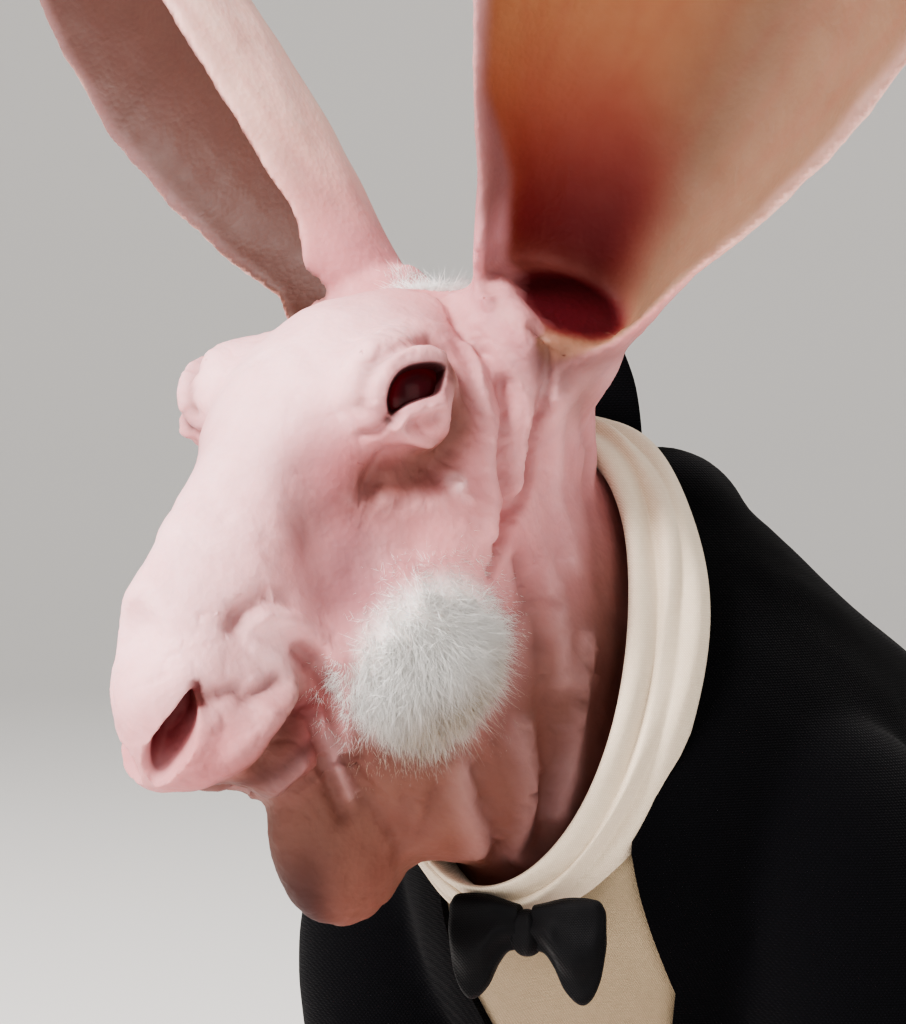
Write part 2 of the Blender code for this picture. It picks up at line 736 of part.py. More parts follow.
def cheek_locks(head, mirror):
    """Locks over the patch of fur on one cheek, in rows that overlap along the lie."""
    draw = random.Random(FUR_SEED + mirror)
    locks = []
    reach = [int(radius / FUR_STEP) + 1 for radius in FUR_RADII]
    for i in range(-reach[0], reach[0] + 1):
        for j in range(-reach[1], reach[1] + 1):
            f = (i + 0.5 * (j % 2) + draw.uniform(-0.2, 0.2)) * FUR_STEP
            up = (j + draw.uniform(-0.2, 0.2)) * FUR_STEP
            if (f / FUR_RADII[0]) ** 2 + (up / FUR_RADII[1]) ** 2 > 1:
                continue
            start = in_head((FUR_CENTRE[0] + f, mirror * FUR_FROM, FUR_CENTRE[1] + up))
            hit, root, normal, _ = head.ray_cast(start, HEAD_SIDE * -mirror)
            if hit:
                turn = math.radians(draw.uniform(-FUR_SPREAD, FUR_SPREAD))
                lie = FACE * FUR_LIE[0] + CROWN * FUR_LIE[1]
                lie.rotate(Matrix.Rotation(turn, 3, HEAD_SIDE))
                locks.append(lock(root, normal, lie, draw.uniform(*LOCK_LENGTH), draw.uniform(*LOCK_WIDTH)))
    return locks


def claw(root, length, radius):
    bm = bmesh.new()
    bmesh.ops.create_cone(
        bm, cap_ends=True, segments=6, radius1=radius, radius2=radius * CLAW_TAPER, depth=length
    )
    turn = CLAW_DIRECTION.to_track_quat("Z", "Y").to_matrix().to_4x4()
    middle = root + CLAW_DIRECTION * (length / 2)
    bmesh.ops.transform(bm, matrix=Matrix.Translation(middle) @ turn, verts=bm.verts)
    return add_object("claw", bm)


def add_claws(nodes):
    """Four claws on each foot."""
    for side, mirror in SIDES.items():
        for foot, rows in (("foreleg", CLAWS[:4]), ("hind_foot", CLAWS[4:])):
            claws = []
            for (x, y, z), length, radius in rows:
                claws.append(claw(Vector((mirror * x, y, z)) * MM, length * MM, radius * MM))
            name = f"{foot}_{side}"
            nodes[name] = unite(nodes[name], claws)


def slice_off(obj, point, normal):
    """Cuts away what lies past a plane, on the side of its normal, and closes the cut."""
    bm = bmesh.new()
    bm.from_mesh(obj.data)
    geometry = bm.verts[:] + bm.edges[:] + bm.faces[:]
    cut = bmesh.ops.bisect_plane(bm, geom=geometry, plane_co=point, plane_no=normal, clear_outer=True)
    edges = [item for item in cut["geom_cut"] if isinstance(item, bmesh.types.BMEdge)]
    bmesh.ops.holes_fill(bm, edges=edges)
    bmesh.ops.triangulate(bm, faces=bm.faces)
    bm.to_mesh(obj.data)
    bm.free()
    return obj


def grown(obj, name, distance):
    """A copy of a body whose skin is moved outward."""
    made = copy_of(obj, name)
    displace = made.modifiers.new("grow", "DISPLACE")
    displace.mid_level = 0
    displace.strength = distance
    return apply_modifiers(made)


def coat_form():
    """The outside of the coat with its sleeves, as one solid."""
    masses = [
        path_loft("coat trunk", TORSO_SECTIONS, grow=COAT_STAND_OFF),
        path_loft("coat neck", NECK_SECTIONS, grow=COAT_STAND_OFF),
        ellipsoid("fold", Vector(NAPE_FOLD[0]) * MM, Vector(NAPE_FOLD[1]) * MM),
    ]
    for mirror in SIDES.values():
        masses.append(path_loft("sleeve", SLEEVE_PATH, mirror, grow=COAT_STAND_OFF))
    form = fuse(join("coat", masses), FUSE_GRID, FUSE_ROUNDS)
    slice_off(form, OPENING_AT - OPENING_NORMAL * COAT_EDGE_DEPTH, OPENING_NORMAL)
    slice_off(form, COAT_HEM_AT, COAT_HEM_NORMAL)
    for mirror in SIDES.values():
        x, y, z = SLEEVE_PATH[-1][:3]
        low = Vector((mirror * x, y, z - SLEEVE_CUT[1] / 2)) * MM
        block = plate(low, (0, 0, 1), SLEEVE_CUT[0] * MM, SLEEVE_CUT[1] * MM)
        boolean(form, block, "DIFFERENCE")
    thin_out(form, COAT_TRIANGLES)
    return unite(form, [path_loft("tab", NAPE_TAB, steps=2, points=12)])


def prism(name, outline, depth, grow=0.0):
    """An outline in x and z, in mm, drawn out along -Y from the middle of the chest."""
    middle = Vector((sum(x for x, z in outline), sum(z for x, z in outline))) / len(outline)
    bm = bmesh.new()
    rings = []
    for y in (FRONT_FROM, FRONT_FROM - depth):
        row = []
        for point in outline:
            out = Vector(point) + (Vector(point) - middle).normalized() * grow
            row.append(bm.verts.new(Vector((out.x, y, out.y)) * MM))
        rings.append(row)
    near, far = rings
    for i in range(len(near)):
        j = (i + 1) % len(near)
        bm.faces.new((near[i], near[j], far[j], far[i]))
    bm.faces.new(near)
    bm.faces.new(far)
    bmesh.ops.recalc_face_normals(bm, faces=bm.faces)
    return add_object(name, bm)


def keep_largest(obj, name):
    """The largest closed surface of an object, the rest being crumbs of a Boolean."""
    parts = loose_parts(obj)
    for crumb in parts[1:]:
        bpy.data.objects.remove(crumb)
    parts[0].name = name
    return parts[0]


def collar(skin, cover):
    """A band round the neck with a rolled rim, laid over the edge of the coat."""
    rings = []
    bm = bmesh.new()
    for i in range(COLLAR_COUNT):
        angle = 2 * math.pi * i / COLLAR_COUNT
        row = []
        for out, forward in COLLAR_PROFILE:
            wide = (COLLAR_HALF_WIDTH + out) * math.cos(angle) * MM
            high = (COLLAR_HALF_HEIGHT + out) * math.sin(angle) * MM
            place = OPENING_AT + Vector((wide, 0, 0)) + OPENING_UP * high
            row.append(bm.verts.new(place + OPENING_NORMAL * (forward * MM)))
        rings.append(row)
    for i in range(COLLAR_COUNT):
        low, high = rings[i], rings[(i + 1) % COLLAR_COUNT]
        for j in range(len(COLLAR_PROFILE)):
            k = (j + 1) % len(COLLAR_PROFILE)
            bm.faces.new((low[j], low[k], high[k], high[j]))
    bmesh.ops.recalc_face_normals(bm, faces=bm.faces)
    band = add_object("collar", bm)
    boolean(band, skin, "DIFFERENCE", keep=True)
    boolean(band, cover, "DIFFERENCE")
    return keep_largest(band, "collar_band")


def bow_wing(name, mirror):
    """One puffed wing of the bow, tall at its end and narrow at the knot."""
    across = Vector((math.cos(BOW_TURN), math.sin(BOW_TURN), 0))
    front = Vector((math.sin(BOW_TURN), -math.cos(BOW_TURN), 0))
    rings = []
    for x, low, high, thick in smooth_rows(WING_ROWS, 2):
        centre = BOW_AT + across * (mirror * x * MM) + Vector((0, 0, (low + high) / 2)) * MM
        half = (high - low) / 2 * MM
        rings.append(ring(centre, front, Vector((0, 0, 1)), thick * MM, half, half, points=12))
    return loft(name, rings)


def skin_point(obj, start, direction):
    hit, point, _, _ = obj.ray_cast(start, direction)
    return point if hit else None


def tube(name, points, radius):
    """A round tube through points, with closed ends."""
    rings = []
    for i, point in enumerate(points):
        ahead = points[min(i + 1, len(points) - 1)] - points[max(i - 1, 0)]
        tangent = ahead.normalized()
        side = tangent.orthogonal().normalized() if i == 0 else side - tangent * side.dot(tangent)
        side.normalize()
        rings.append(ring(point, side, side.cross(tangent), radius, radius, radius, points=10))
    return loft(name, rings)


def mouth_line(head):
    """Points along the mouth, on the skin from one corner to the other, sagging toward the corners."""
    points = []
    for step in range(-10, 11):
        angle = math.radians(MOUTH_SPREAD * step / 10)
        sag = MOUTH_SAG * (step / 10) ** 2
        start = in_head((MOUTH_FROM[0], MOUTH_FROM[1], MOUTH_FROM[2] - sag))
        direction = FACE * math.cos(angle) + HEAD_SIDE * math.sin(angle)
        point = skin_point(head, start, direction)
        if point is not None:
            points.append(point)
    return points


def head_openings(animal):
    """Opens the lids and nostrils and draws the line of the mouth."""
    for mirror in SIDES.values():
        for (f, side, up), radii, turn in (EYE_OPENING, NOSTRIL):
            roll = Matrix.Rotation(math.radians(turn), 3, Vector((0, 1, 0)))
            place = in_head((f, mirror * side, up))
            cutter = ellipsoid("cutter", place, Vector(radii) * MM, HEAD_AXES @ roll)
            boolean(animal, cutter, "DIFFERENCE")
    boolean(animal, tube("mouth", mouth_line(animal), MOUTH_DEPTH), "DIFFERENCE")


def material(name, colour, roughness, gloss=0.0):
    made = bpy.data.materials.new(name)
    made.use_nodes = True
    shader = made.node_tree.nodes["Principled BSDF"]
    shader.inputs["Base Color"].default_value = (*colour, 1)
    shader.inputs["Roughness"].default_value = roughness
    shader.inputs["Coat Weight"].default_value = gloss
    made.diffuse_color = (*colour, 1)
    return made


def dress(nodes):
    """Gives each part its own material."""
    for name, obj in nodes.items():
        for word, look in LOOKS.items():
            if name.startswith(word):
                obj.data.materials.clear()
                obj.data.materials.append(material(name, *look))
                break


def gather(nodes):
    """Puts the parts in one collection, on the floor, with the origin under the middle of their box."""
    collection = bpy.data.collections.new("hairless rabbit")
    bpy.context.scene.collection.children.link(collection)
    points = np.vstack([np.array([vert.co for vert in obj.data.vertices]) for obj in nodes.values()])
    low, high = points.min(axis=0), points.max(axis=0)
    shift = Vector((-(low[0] + high[0]) / 2, -(low[1] + high[1]) / 2, -low[2]))
    for name, obj in nodes.items():
        obj.name = name
        obj.data.name = name
        obj.data.transform(Matrix.Translation(shift))
        bpy.context.scene.collection.objects.unlink(obj)
        collection.objects.link(obj)


def garments(skin):
    """The coat, its cream front, the collar and the bow."""
    coat = coat_form()
    cover = grown(coat, "cover", COAT_GAP)
    boolean(coat, skin, "DIFFERENCE", keep=True)
    front = copy_of(coat, "front")
    boolean(front, prism("panel", FRONT_OUTLINE, FRONT_DEPTH), "INTERSECT")
    boolean(coat, prism("panel", FRONT_OUTLINE, FRONT_DEPTH, grow=FRONT_GAP), "DIFFERENCE")
    return {
        "shirt_front": keep_largest(front, "shirt_front"),
        "coat": keep_largest(coat, "coat"),
        "collar_band": collar(skin, cover),
        "bow_wing_left": bow_wing("bow_wing_left", 1),
        "bow_wing_right": bow_wing("bow_wing_right", -1),
        "bow_knot": ellipsoid("bow_knot", BOW_AT, Vector(KNOT_RADII) * MM, segments=12),
    }


def make_animal():
    """The animal's whole skin, with flat soles, level seats for the ears and open lids."""
    animal = join("animal", head_masses() + body_masses())
    fuse(animal, FUSE_GRID, FUSE_ROUNDS)
    sculpt(animal, HEAD_STROKES, EYES_AT, HEAD_AXES, HEAD_WEIGHTS)
    sculpt(animal, TOE_STROKES, Vector(), BODY_AXES, TOE_WEIGHTS)
    thin_out(animal, FIRST_TRIANGLES)
    for mirror in SIDES.values():
        along = ear_axes(mirror)[0]
        seat = ear_root(mirror) + along * (EAR_SEAT_HEIGHT / 2 - GAP)
        boolean(animal, plate(seat, along, EAR_SEAT_RADIUS, EAR_SEAT_HEIGHT), "DIFFERENCE")
        socket = ellipsoid("socket", eye_centre(mirror), [EYE_RADIUS + GAP] * 3)
        boolean(animal, socket, "DIFFERENCE")
    head_openings(animal)
    thin_out(animal, ANIMAL_TRIANGLES, fine_near=EYES_AT)
    return slice_off(animal, Vector((0, 0, SOLE_LEVEL)), Vector((0, 0, -1)))


def build():
    clear_scene()
    nodes = {}
    for side, mirror in SIDES.items():
        nodes[f"ear_{side}"] = ear(f"ear_{side}", mirror)
        nodes[f"eye_{side}"] = ellipsoid(f"eye_{side}", eye_centre(mirror), [EYE_RADIUS] * 3, segments=16)
    animal = make_animal()
    skin = grown(animal, "skin", COAT_GAP)
    nodes.update(garments(skin))
    bpy.data.objects.remove(skin)
    nodes.update(part_animal(animal))
    locks = [piece for mirror in SIDES.values() for piece in cheek_locks(nodes["head"], mirror)]
    nodes["head"] = unite(nodes["head"], locks)
    add_claws(nodes)
    dress(nodes)
    gather(nodes)


build()
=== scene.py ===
"""A hairless rabbit in a small knitted coat with a cream front and a bow tie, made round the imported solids.

The skin is modelled again, finer, from the same named sizes, and stands for the animal's solids. The
clothes stand for theirs.
"""

import math

import bmesh
import bpy
import numpy as np
from mathutils import Matrix, Vector


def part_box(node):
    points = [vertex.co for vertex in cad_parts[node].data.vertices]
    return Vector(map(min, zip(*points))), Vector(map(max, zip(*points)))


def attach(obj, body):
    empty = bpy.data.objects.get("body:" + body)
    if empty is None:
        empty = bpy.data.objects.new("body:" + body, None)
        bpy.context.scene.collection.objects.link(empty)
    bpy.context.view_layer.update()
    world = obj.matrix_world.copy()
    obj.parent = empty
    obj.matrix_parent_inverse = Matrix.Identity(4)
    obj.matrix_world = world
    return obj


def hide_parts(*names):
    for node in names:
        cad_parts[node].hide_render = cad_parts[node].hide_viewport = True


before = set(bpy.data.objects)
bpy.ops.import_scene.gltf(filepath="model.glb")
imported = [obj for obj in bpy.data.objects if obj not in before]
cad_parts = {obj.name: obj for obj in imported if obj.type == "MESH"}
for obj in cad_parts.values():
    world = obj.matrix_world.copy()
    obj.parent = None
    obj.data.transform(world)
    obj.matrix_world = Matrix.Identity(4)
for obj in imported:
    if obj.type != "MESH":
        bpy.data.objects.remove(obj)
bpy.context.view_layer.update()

# Driving dimensions, in metres
MM = 0.001
GAP = 0.3 * MM
EAR_LENGTH = 112 * MM
EYE_RADIUS = 6.7 * MM
LID_THICKNESS = 1.1 * MM
EAR_THICKNESS = 1.7 * MM

# The head's place: the point midway between the eyes, then its turn to the right and its nod
EYES_AT = Vector((-17, -103, 165)) * MM
HEAD_TURN = math.radians(-12)
HEAD_NOD = math.radians(49)

# The neck opening of the coat: its centre, and the tilt of its plane from the vertical
OPENING_AT = Vector((-3, -63.2, 129.6)) * MM
OPENING_TILT = math.radians(21)

# The grid that fuses the masses into one skin, and the rounds that soften it
FUSE_GRID = 1.4 * MM
FUSE_ROUNDS = 9

SIDES = {"left": 1, "right": -1}

FORWARD = Vector((math.sin(HEAD_TURN), -math.cos(HEAD_TURN), 0))
HEAD_SIDE = Vector((math.cos(HEAD_TURN), math.sin(HEAD_TURN), 0))
FACE = FORWARD * math.cos(HEAD_NOD) - Vector((0, 0, 1)) * math.sin(HEAD_NOD)
CROWN = FORWARD * math.sin(HEAD_NOD) + Vector((0, 0, 1)) * math.cos(HEAD_NOD)
HEAD_AXES = Matrix((FACE, HEAD_SIDE, CROWN)).transposed()
BODY_AXES = Matrix(((0, 1, 0), (1, 0, 0), (0, 0, 1)))
OPENING_NORMAL = Vector((0, -math.cos(OPENING_TILT), math.sin(OPENING_TILT)))
OPENING_UP = Vector((0, math.sin(OPENING_TILT), math.cos(OPENING_TILT)))

# The skull and jaw, in mm in the head's own axes: along the face, to the crown, half width, rise, drop
HEAD_PATH = (
    (45, -8, 3.0, 3.5, 6.5),
    (43.5, -10, 6.0, 7.5, 12.5),
    (40, -11, 8.0, 12.0, 18.0),
    (33, -12, 9.0, 15.0, 20.5),
    (24, -12.5, 10.5, 18.0, 21.0),
    (14, -13, 12.5, 21.5, 20.5),
    (5, -14, 15.5, 24.0, 20.5),
    (-4, -16, 18.0, 25.0, 21.5),
    (-12, -21, 18.5, 22.5, 20.0),
    (-19, -28, 18.0, 18.5, 18.0),
    (-25, -37, 14.0, 16.0, 16.0),
)
# Masses of the head, in mm, in its own axes (along the face, to the side, to the crown): centre, radii
HEAD_PAIRS = (
    ((37.0, 5.5, -19.0), (7.5, 5.5, 11.5)),  # whisker pads
    ((-2.0, 12.0, -25.0), (14.0, 7.5, 12.5)),  # cheek muscles
    ((18.0, 7.0, -23.0), (14.0, 6.0, 8.0)),  # sides of the lower jaw
)
HEAD_MIDDLES = (
    ((39.6, 0.0, -5.5), (5.5, 6.0, 6.0)),  # nose
    ((31.0, 0.0, -28.0), (7.5, 6.0, 6.0)),  # chin
)
# The middle of the lids' mass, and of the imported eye, in mm in the head's axes
EYE_CENTRE = (-3.4, 13.8, -3.8)
EYE_NODE_AT = (0.6, 12.7, -1.8)

# The line of the mouth: the point inside that it is cast from, in mm in the head's axes, its spread to each
# side in degrees, how far its corners sag in mm, and how deep it is cut
MOUTH_FROM = (30.0, 0.0, -26.0)
MOUTH_SPREAD = 80
MOUTH_SAG = 3.0
MOUTH_DEPTH = 1.0 * MM

# Creases between the toes, in mm: rise, half width, then the line (y, x, z)
TOE_STROKES = (
    (-1.1, 1.2, ((-78, 19.6, 12), (-91, 19.2, 6))),
    (-1.1, 1.2, ((-78, 24.0, 12), (-91, 24.0, 6))),
    (-1.1, 1.2, ((-78, 28.4, 12), (-91, 28.8, 6))),
    (-1.3, 1.4, ((28, 46.6, 13), (8, 47.0, 6))),
    (-1.3, 1.4, ((28, 51.0, 13), (8, 51.8, 6))),
    (-1.3, 1.4, ((28, 55.4, 13), (8, 56.6, 6))),
)
# How much the body's axes (y, x, z) count in the distance to a toe's line
TOE_WEIGHTS = (1.0, 1.0, 0.35)

# Claws, in mm: root (x, y, z), length, radius
CLAWS = (
    ((17.6, -81, 5.2), 10.0, 1.2),
    ((21.8, -84, 5.6), 10.0, 1.2),
    ((26.2, -84, 5.6), 10.0, 1.2),
    ((30.4, -81, 5.2), 10.0, 1.2),
    ((44.8, 19, 5.6), 11.5, 1.4),
    ((49.4, 15, 6.0), 11.5, 1.4),
    ((54.2, 15, 6.0), 11.5, 1.4),
    ((58.8, 19, 5.6), 11.5, 1.4),
)
CLAW_DIRECTION = Vector((0, -1, -0.22)).normalized()
CLAW_STEPS = 8
CLAW_DROOP = 0.9

# Torso sections, in mm: x, y, z of the centre, half width, half height
TORSO_SECTIONS = (
    (-3, -62, 130, 14.5, 28.0),
    (-1, -49, 120, 27.0, 36.0),
    (0, -22, 99, 38.5, 43.0),
    (0, 8, 83, 43.0, 46.0),
    (0, 40, 70, 47.0, 46.0),
    (0, 72, 65, 46.0, 42.0),
    (0, 98, 57, 39.0, 36.0),
    (0, 118, 49, 25.0, 26.0),
    (0, 128, 45, 8.0, 10.0),
)
# Neck sections, in mm, in the same order
NECK_SECTIONS = (
    (-2, -50, 121, 17.0, 28.0),
    (-3, -62, 129.5, 14.5, 29.0),
    (-6, -75, 136, 14.5, 32.5),
    (-10, -86, 142, 14.5, 31.0),
    (-14, -93, 151, 10.0, 20.0),
)
# The dewlap, in mm: centre, radii
DEWLAP = ((-14, -95, 112.8), (7.0, 15.0, 15.0))
# Limb paths, in mm: x, y, z, half width, half height
THIGH_PATH = (
    (32, 118, 60, 6.0, 8.0),
    (38, 108, 62, 15.0, 24.0),
    (42, 90, 60, 20.5, 34.0),
    (45, 70, 55, 20.5, 35.0),
    (47, 52, 48, 17.0, 27.0),
    (48, 40, 42, 12.0, 17.0),
    (48, 33, 38, 5.0, 7.0),
)
# The hock, in mm: centre, radii
HOCK = ((47, 94, 20), (11, 19, 16))
FORELEG_PATH = (
    (20, -34, 118, 7.0, 9.0),
    (29, -38, 106, 14.0, 17.0),
    (34, -40, 88, 14.5, 16.5),
    (33, -42, 66, 11.5, 12.5),
    (28.5, -51, 42, 8.5, 9.5),
    (25, -60, 22, 7.5, 8.0),
    (24, -67, 10, 8.5, 8.0),
)
FOREPAW_PATH = (
    (24, -58, 11, 6.0, 6.0),
    (24, -66, 8, 8.5, 9.0),
    (24, -76, 6.5, 9.5, 8.0),
    (24, -84, 5.0, 8.5, 6.5),
    (24, -89, 4.0, 4.0, 3.5),
)
HIND_FOOT_PATH = (
    (43, 118, 9, 4.0, 5.0),
    (43, 112, 9.5, 9.0, 10.5),
    (44, 98, 10.5, 10.5, 12.0),
    (46, 72, 8, 10.0, 9.5),
    (48, 46, 7, 11.0, 8.5),
    (50, 26, 6.5, 12.5, 8.0),
    (51, 15, 5, 11.0, 7.0),
    (52, 9, 4, 5.0, 4.0),
)
TAIL_PATH = (
    (0, 116, 44, 9.0, 9.0),
    (0, 128, 45, 7.5, 7.0),
    (0, 138, 51, 6.0, 5.5),
    (0, 145, 60, 4.5, 4.2),
    (0, 148, 68, 2.0, 2.0),
)

# The ears. Each row: share of the length, width across the leaf in mm, how far it is rolled, in radians
EAR_ROWS = (
    (0.00, 48, 5.6),
    (0.06, 45, 4.3),
    (0.14, 43, 3.3),
    (0.24, 54, 2.95),
    (0.36, 63, 2.65),
    (0.50, 68, 2.35),
    (0.64, 63, 2.15),
    (0.77, 52, 1.8),
    (0.88, 37, 1.5),
    (0.96, 20, 1.2),
    (1.00, 7, 1.1),
)
# The root of an ear, in mm in the head's axes, how far the ear spreads to the side and leans ahead against
# its rise, where its cup opens (to the side, ahead), and how much its leaf bends out toward the tip
EAR_ROOT = (-28.0, 15.5, -17.0)
EAR_SPREAD = 0.76
EAR_LEAN = 0.21
EAR_OPENS = (0.64, 0.77)
EAR_BEND = 0.05
# How far the leaf's back stands off the ear's line, how much more it does at its belly, and where that ends
EAR_ROOT_RADIUS = 8.0 * MM
EAR_BELLY = 4.5 * MM
EAR_BELLY_END = 0.85
# The ear's base, in mm: how far along the ear, radius
EAR_STUMP = ((-18, 6.0), (-11, 9.5), (-5, 11.0), (4, 11.0))

# The coat: how far it stands off the skin, its hem, and the path of its sleeves
COAT_STAND_OFF = 2.8
COAT_HEM_AT = Vector((0, 44, 80)) * MM
COAT_HEM_NORMAL = Vector((0, 0.87, -0.5)).normalized()
COAT_EDGE_DEPTH = -0.5 * MM
SLEEVE_PATH = (
    (20, -34, 118, 7.0, 9.0),
    (29, -38, 106, 14.0, 17.0),
    (34, -40, 88, 15.5, 17.5),
    (33, -42, 66, 13.0, 13.5),
    (30.0, -47, 50, 12.0, 12.0),
)
# The loose fold over the shoulders, and the tab that stands up at the nape: x, y, z, half width, half depth
NAPE_FOLD = ((0, -37, 139.5), (15, 15, 18))
NAPE_TAB = (
    (-5, -43, 150, 7.5, 1.8),
    (-5, -43, 160, 7.2, 1.5),
    (-5, -43.5, 168, 6.4, 1.3),
    (-5, -44, 174, 4.4, 0.8),
)
# The block that cuts each sleeve level at its cuff, in mm: radius, height
SLEEVE_CUT = (22, 36)
# The cream front: the outline that it fills between the coat's edges, in mm: x, z
FRONT_OUTLINE = ((-12, 118), (-12, 90), (-9, 74), (-3, 63), (4, 63), (13, 73), (17.5, 88), (14, 118))
# Where the block that cuts this outline begins, in y, and its depth, in mm
FRONT_FROM = -55
FRONT_DEPTH = 40
# The neck that the collar goes round, in mm
COLLAR_HALF_WIDTH = 14.5
COLLAR_HALF_HEIGHT = 28.5
# The bow: where its knot sits, its turn, and the radii of its knot, in mm
BOW_AT = Vector((5.5, -83, 94.5)) * MM
BOW_TURN = math.radians(8)
KNOT_RADII = (3.1, 2.6, 3.8)

# The skin's finer grids, the share of triangles that the front keeps, and the cut between front and rear
FRONT_GRID = 0.72 * MM
FRONT_SHARE = 0.44
# Where the skin is finer still, in mm in the head's axes: centre, radius
FINE_PLACES = (
    ((-4, 18, -4), 13.0),
    ((-13, 18, -17), 11.0),
    ((-2, 18, -25), 8.0),
    ((40, 8, -12), 13.0),
    ((37, 9, -24), 10.0),
    ((46, 0, -14), 9.0),
)
REAR_GRID = 1.22 * MM
SKIN_PARTS_AT = Vector((-2, -50, 123)) * MM
SKIN_PARTS_NORMAL = Vector((0, 0.93, -0.36)).normalized()
# The fine ear's rows along its length, and its columns across
FINE_EAR_STEPS = 64
FINE_EAR_COLUMNS = 40
# The hollow at the bottom of each ear's cup, in mm: how far along the ear, radii across and along
EAR_CANAL = (0.5, 6.0, 13.0)
# How far the hollow lies to the ear's outer side, in mm
CANAL_ASIDE = 1.8
# The notch at the front of the ear's base, in mm in the head's axes: centre, radii
EAR_NOTCH = ((-24.5, 15.5, -4.0), (2.0, 3.2, 4.5))
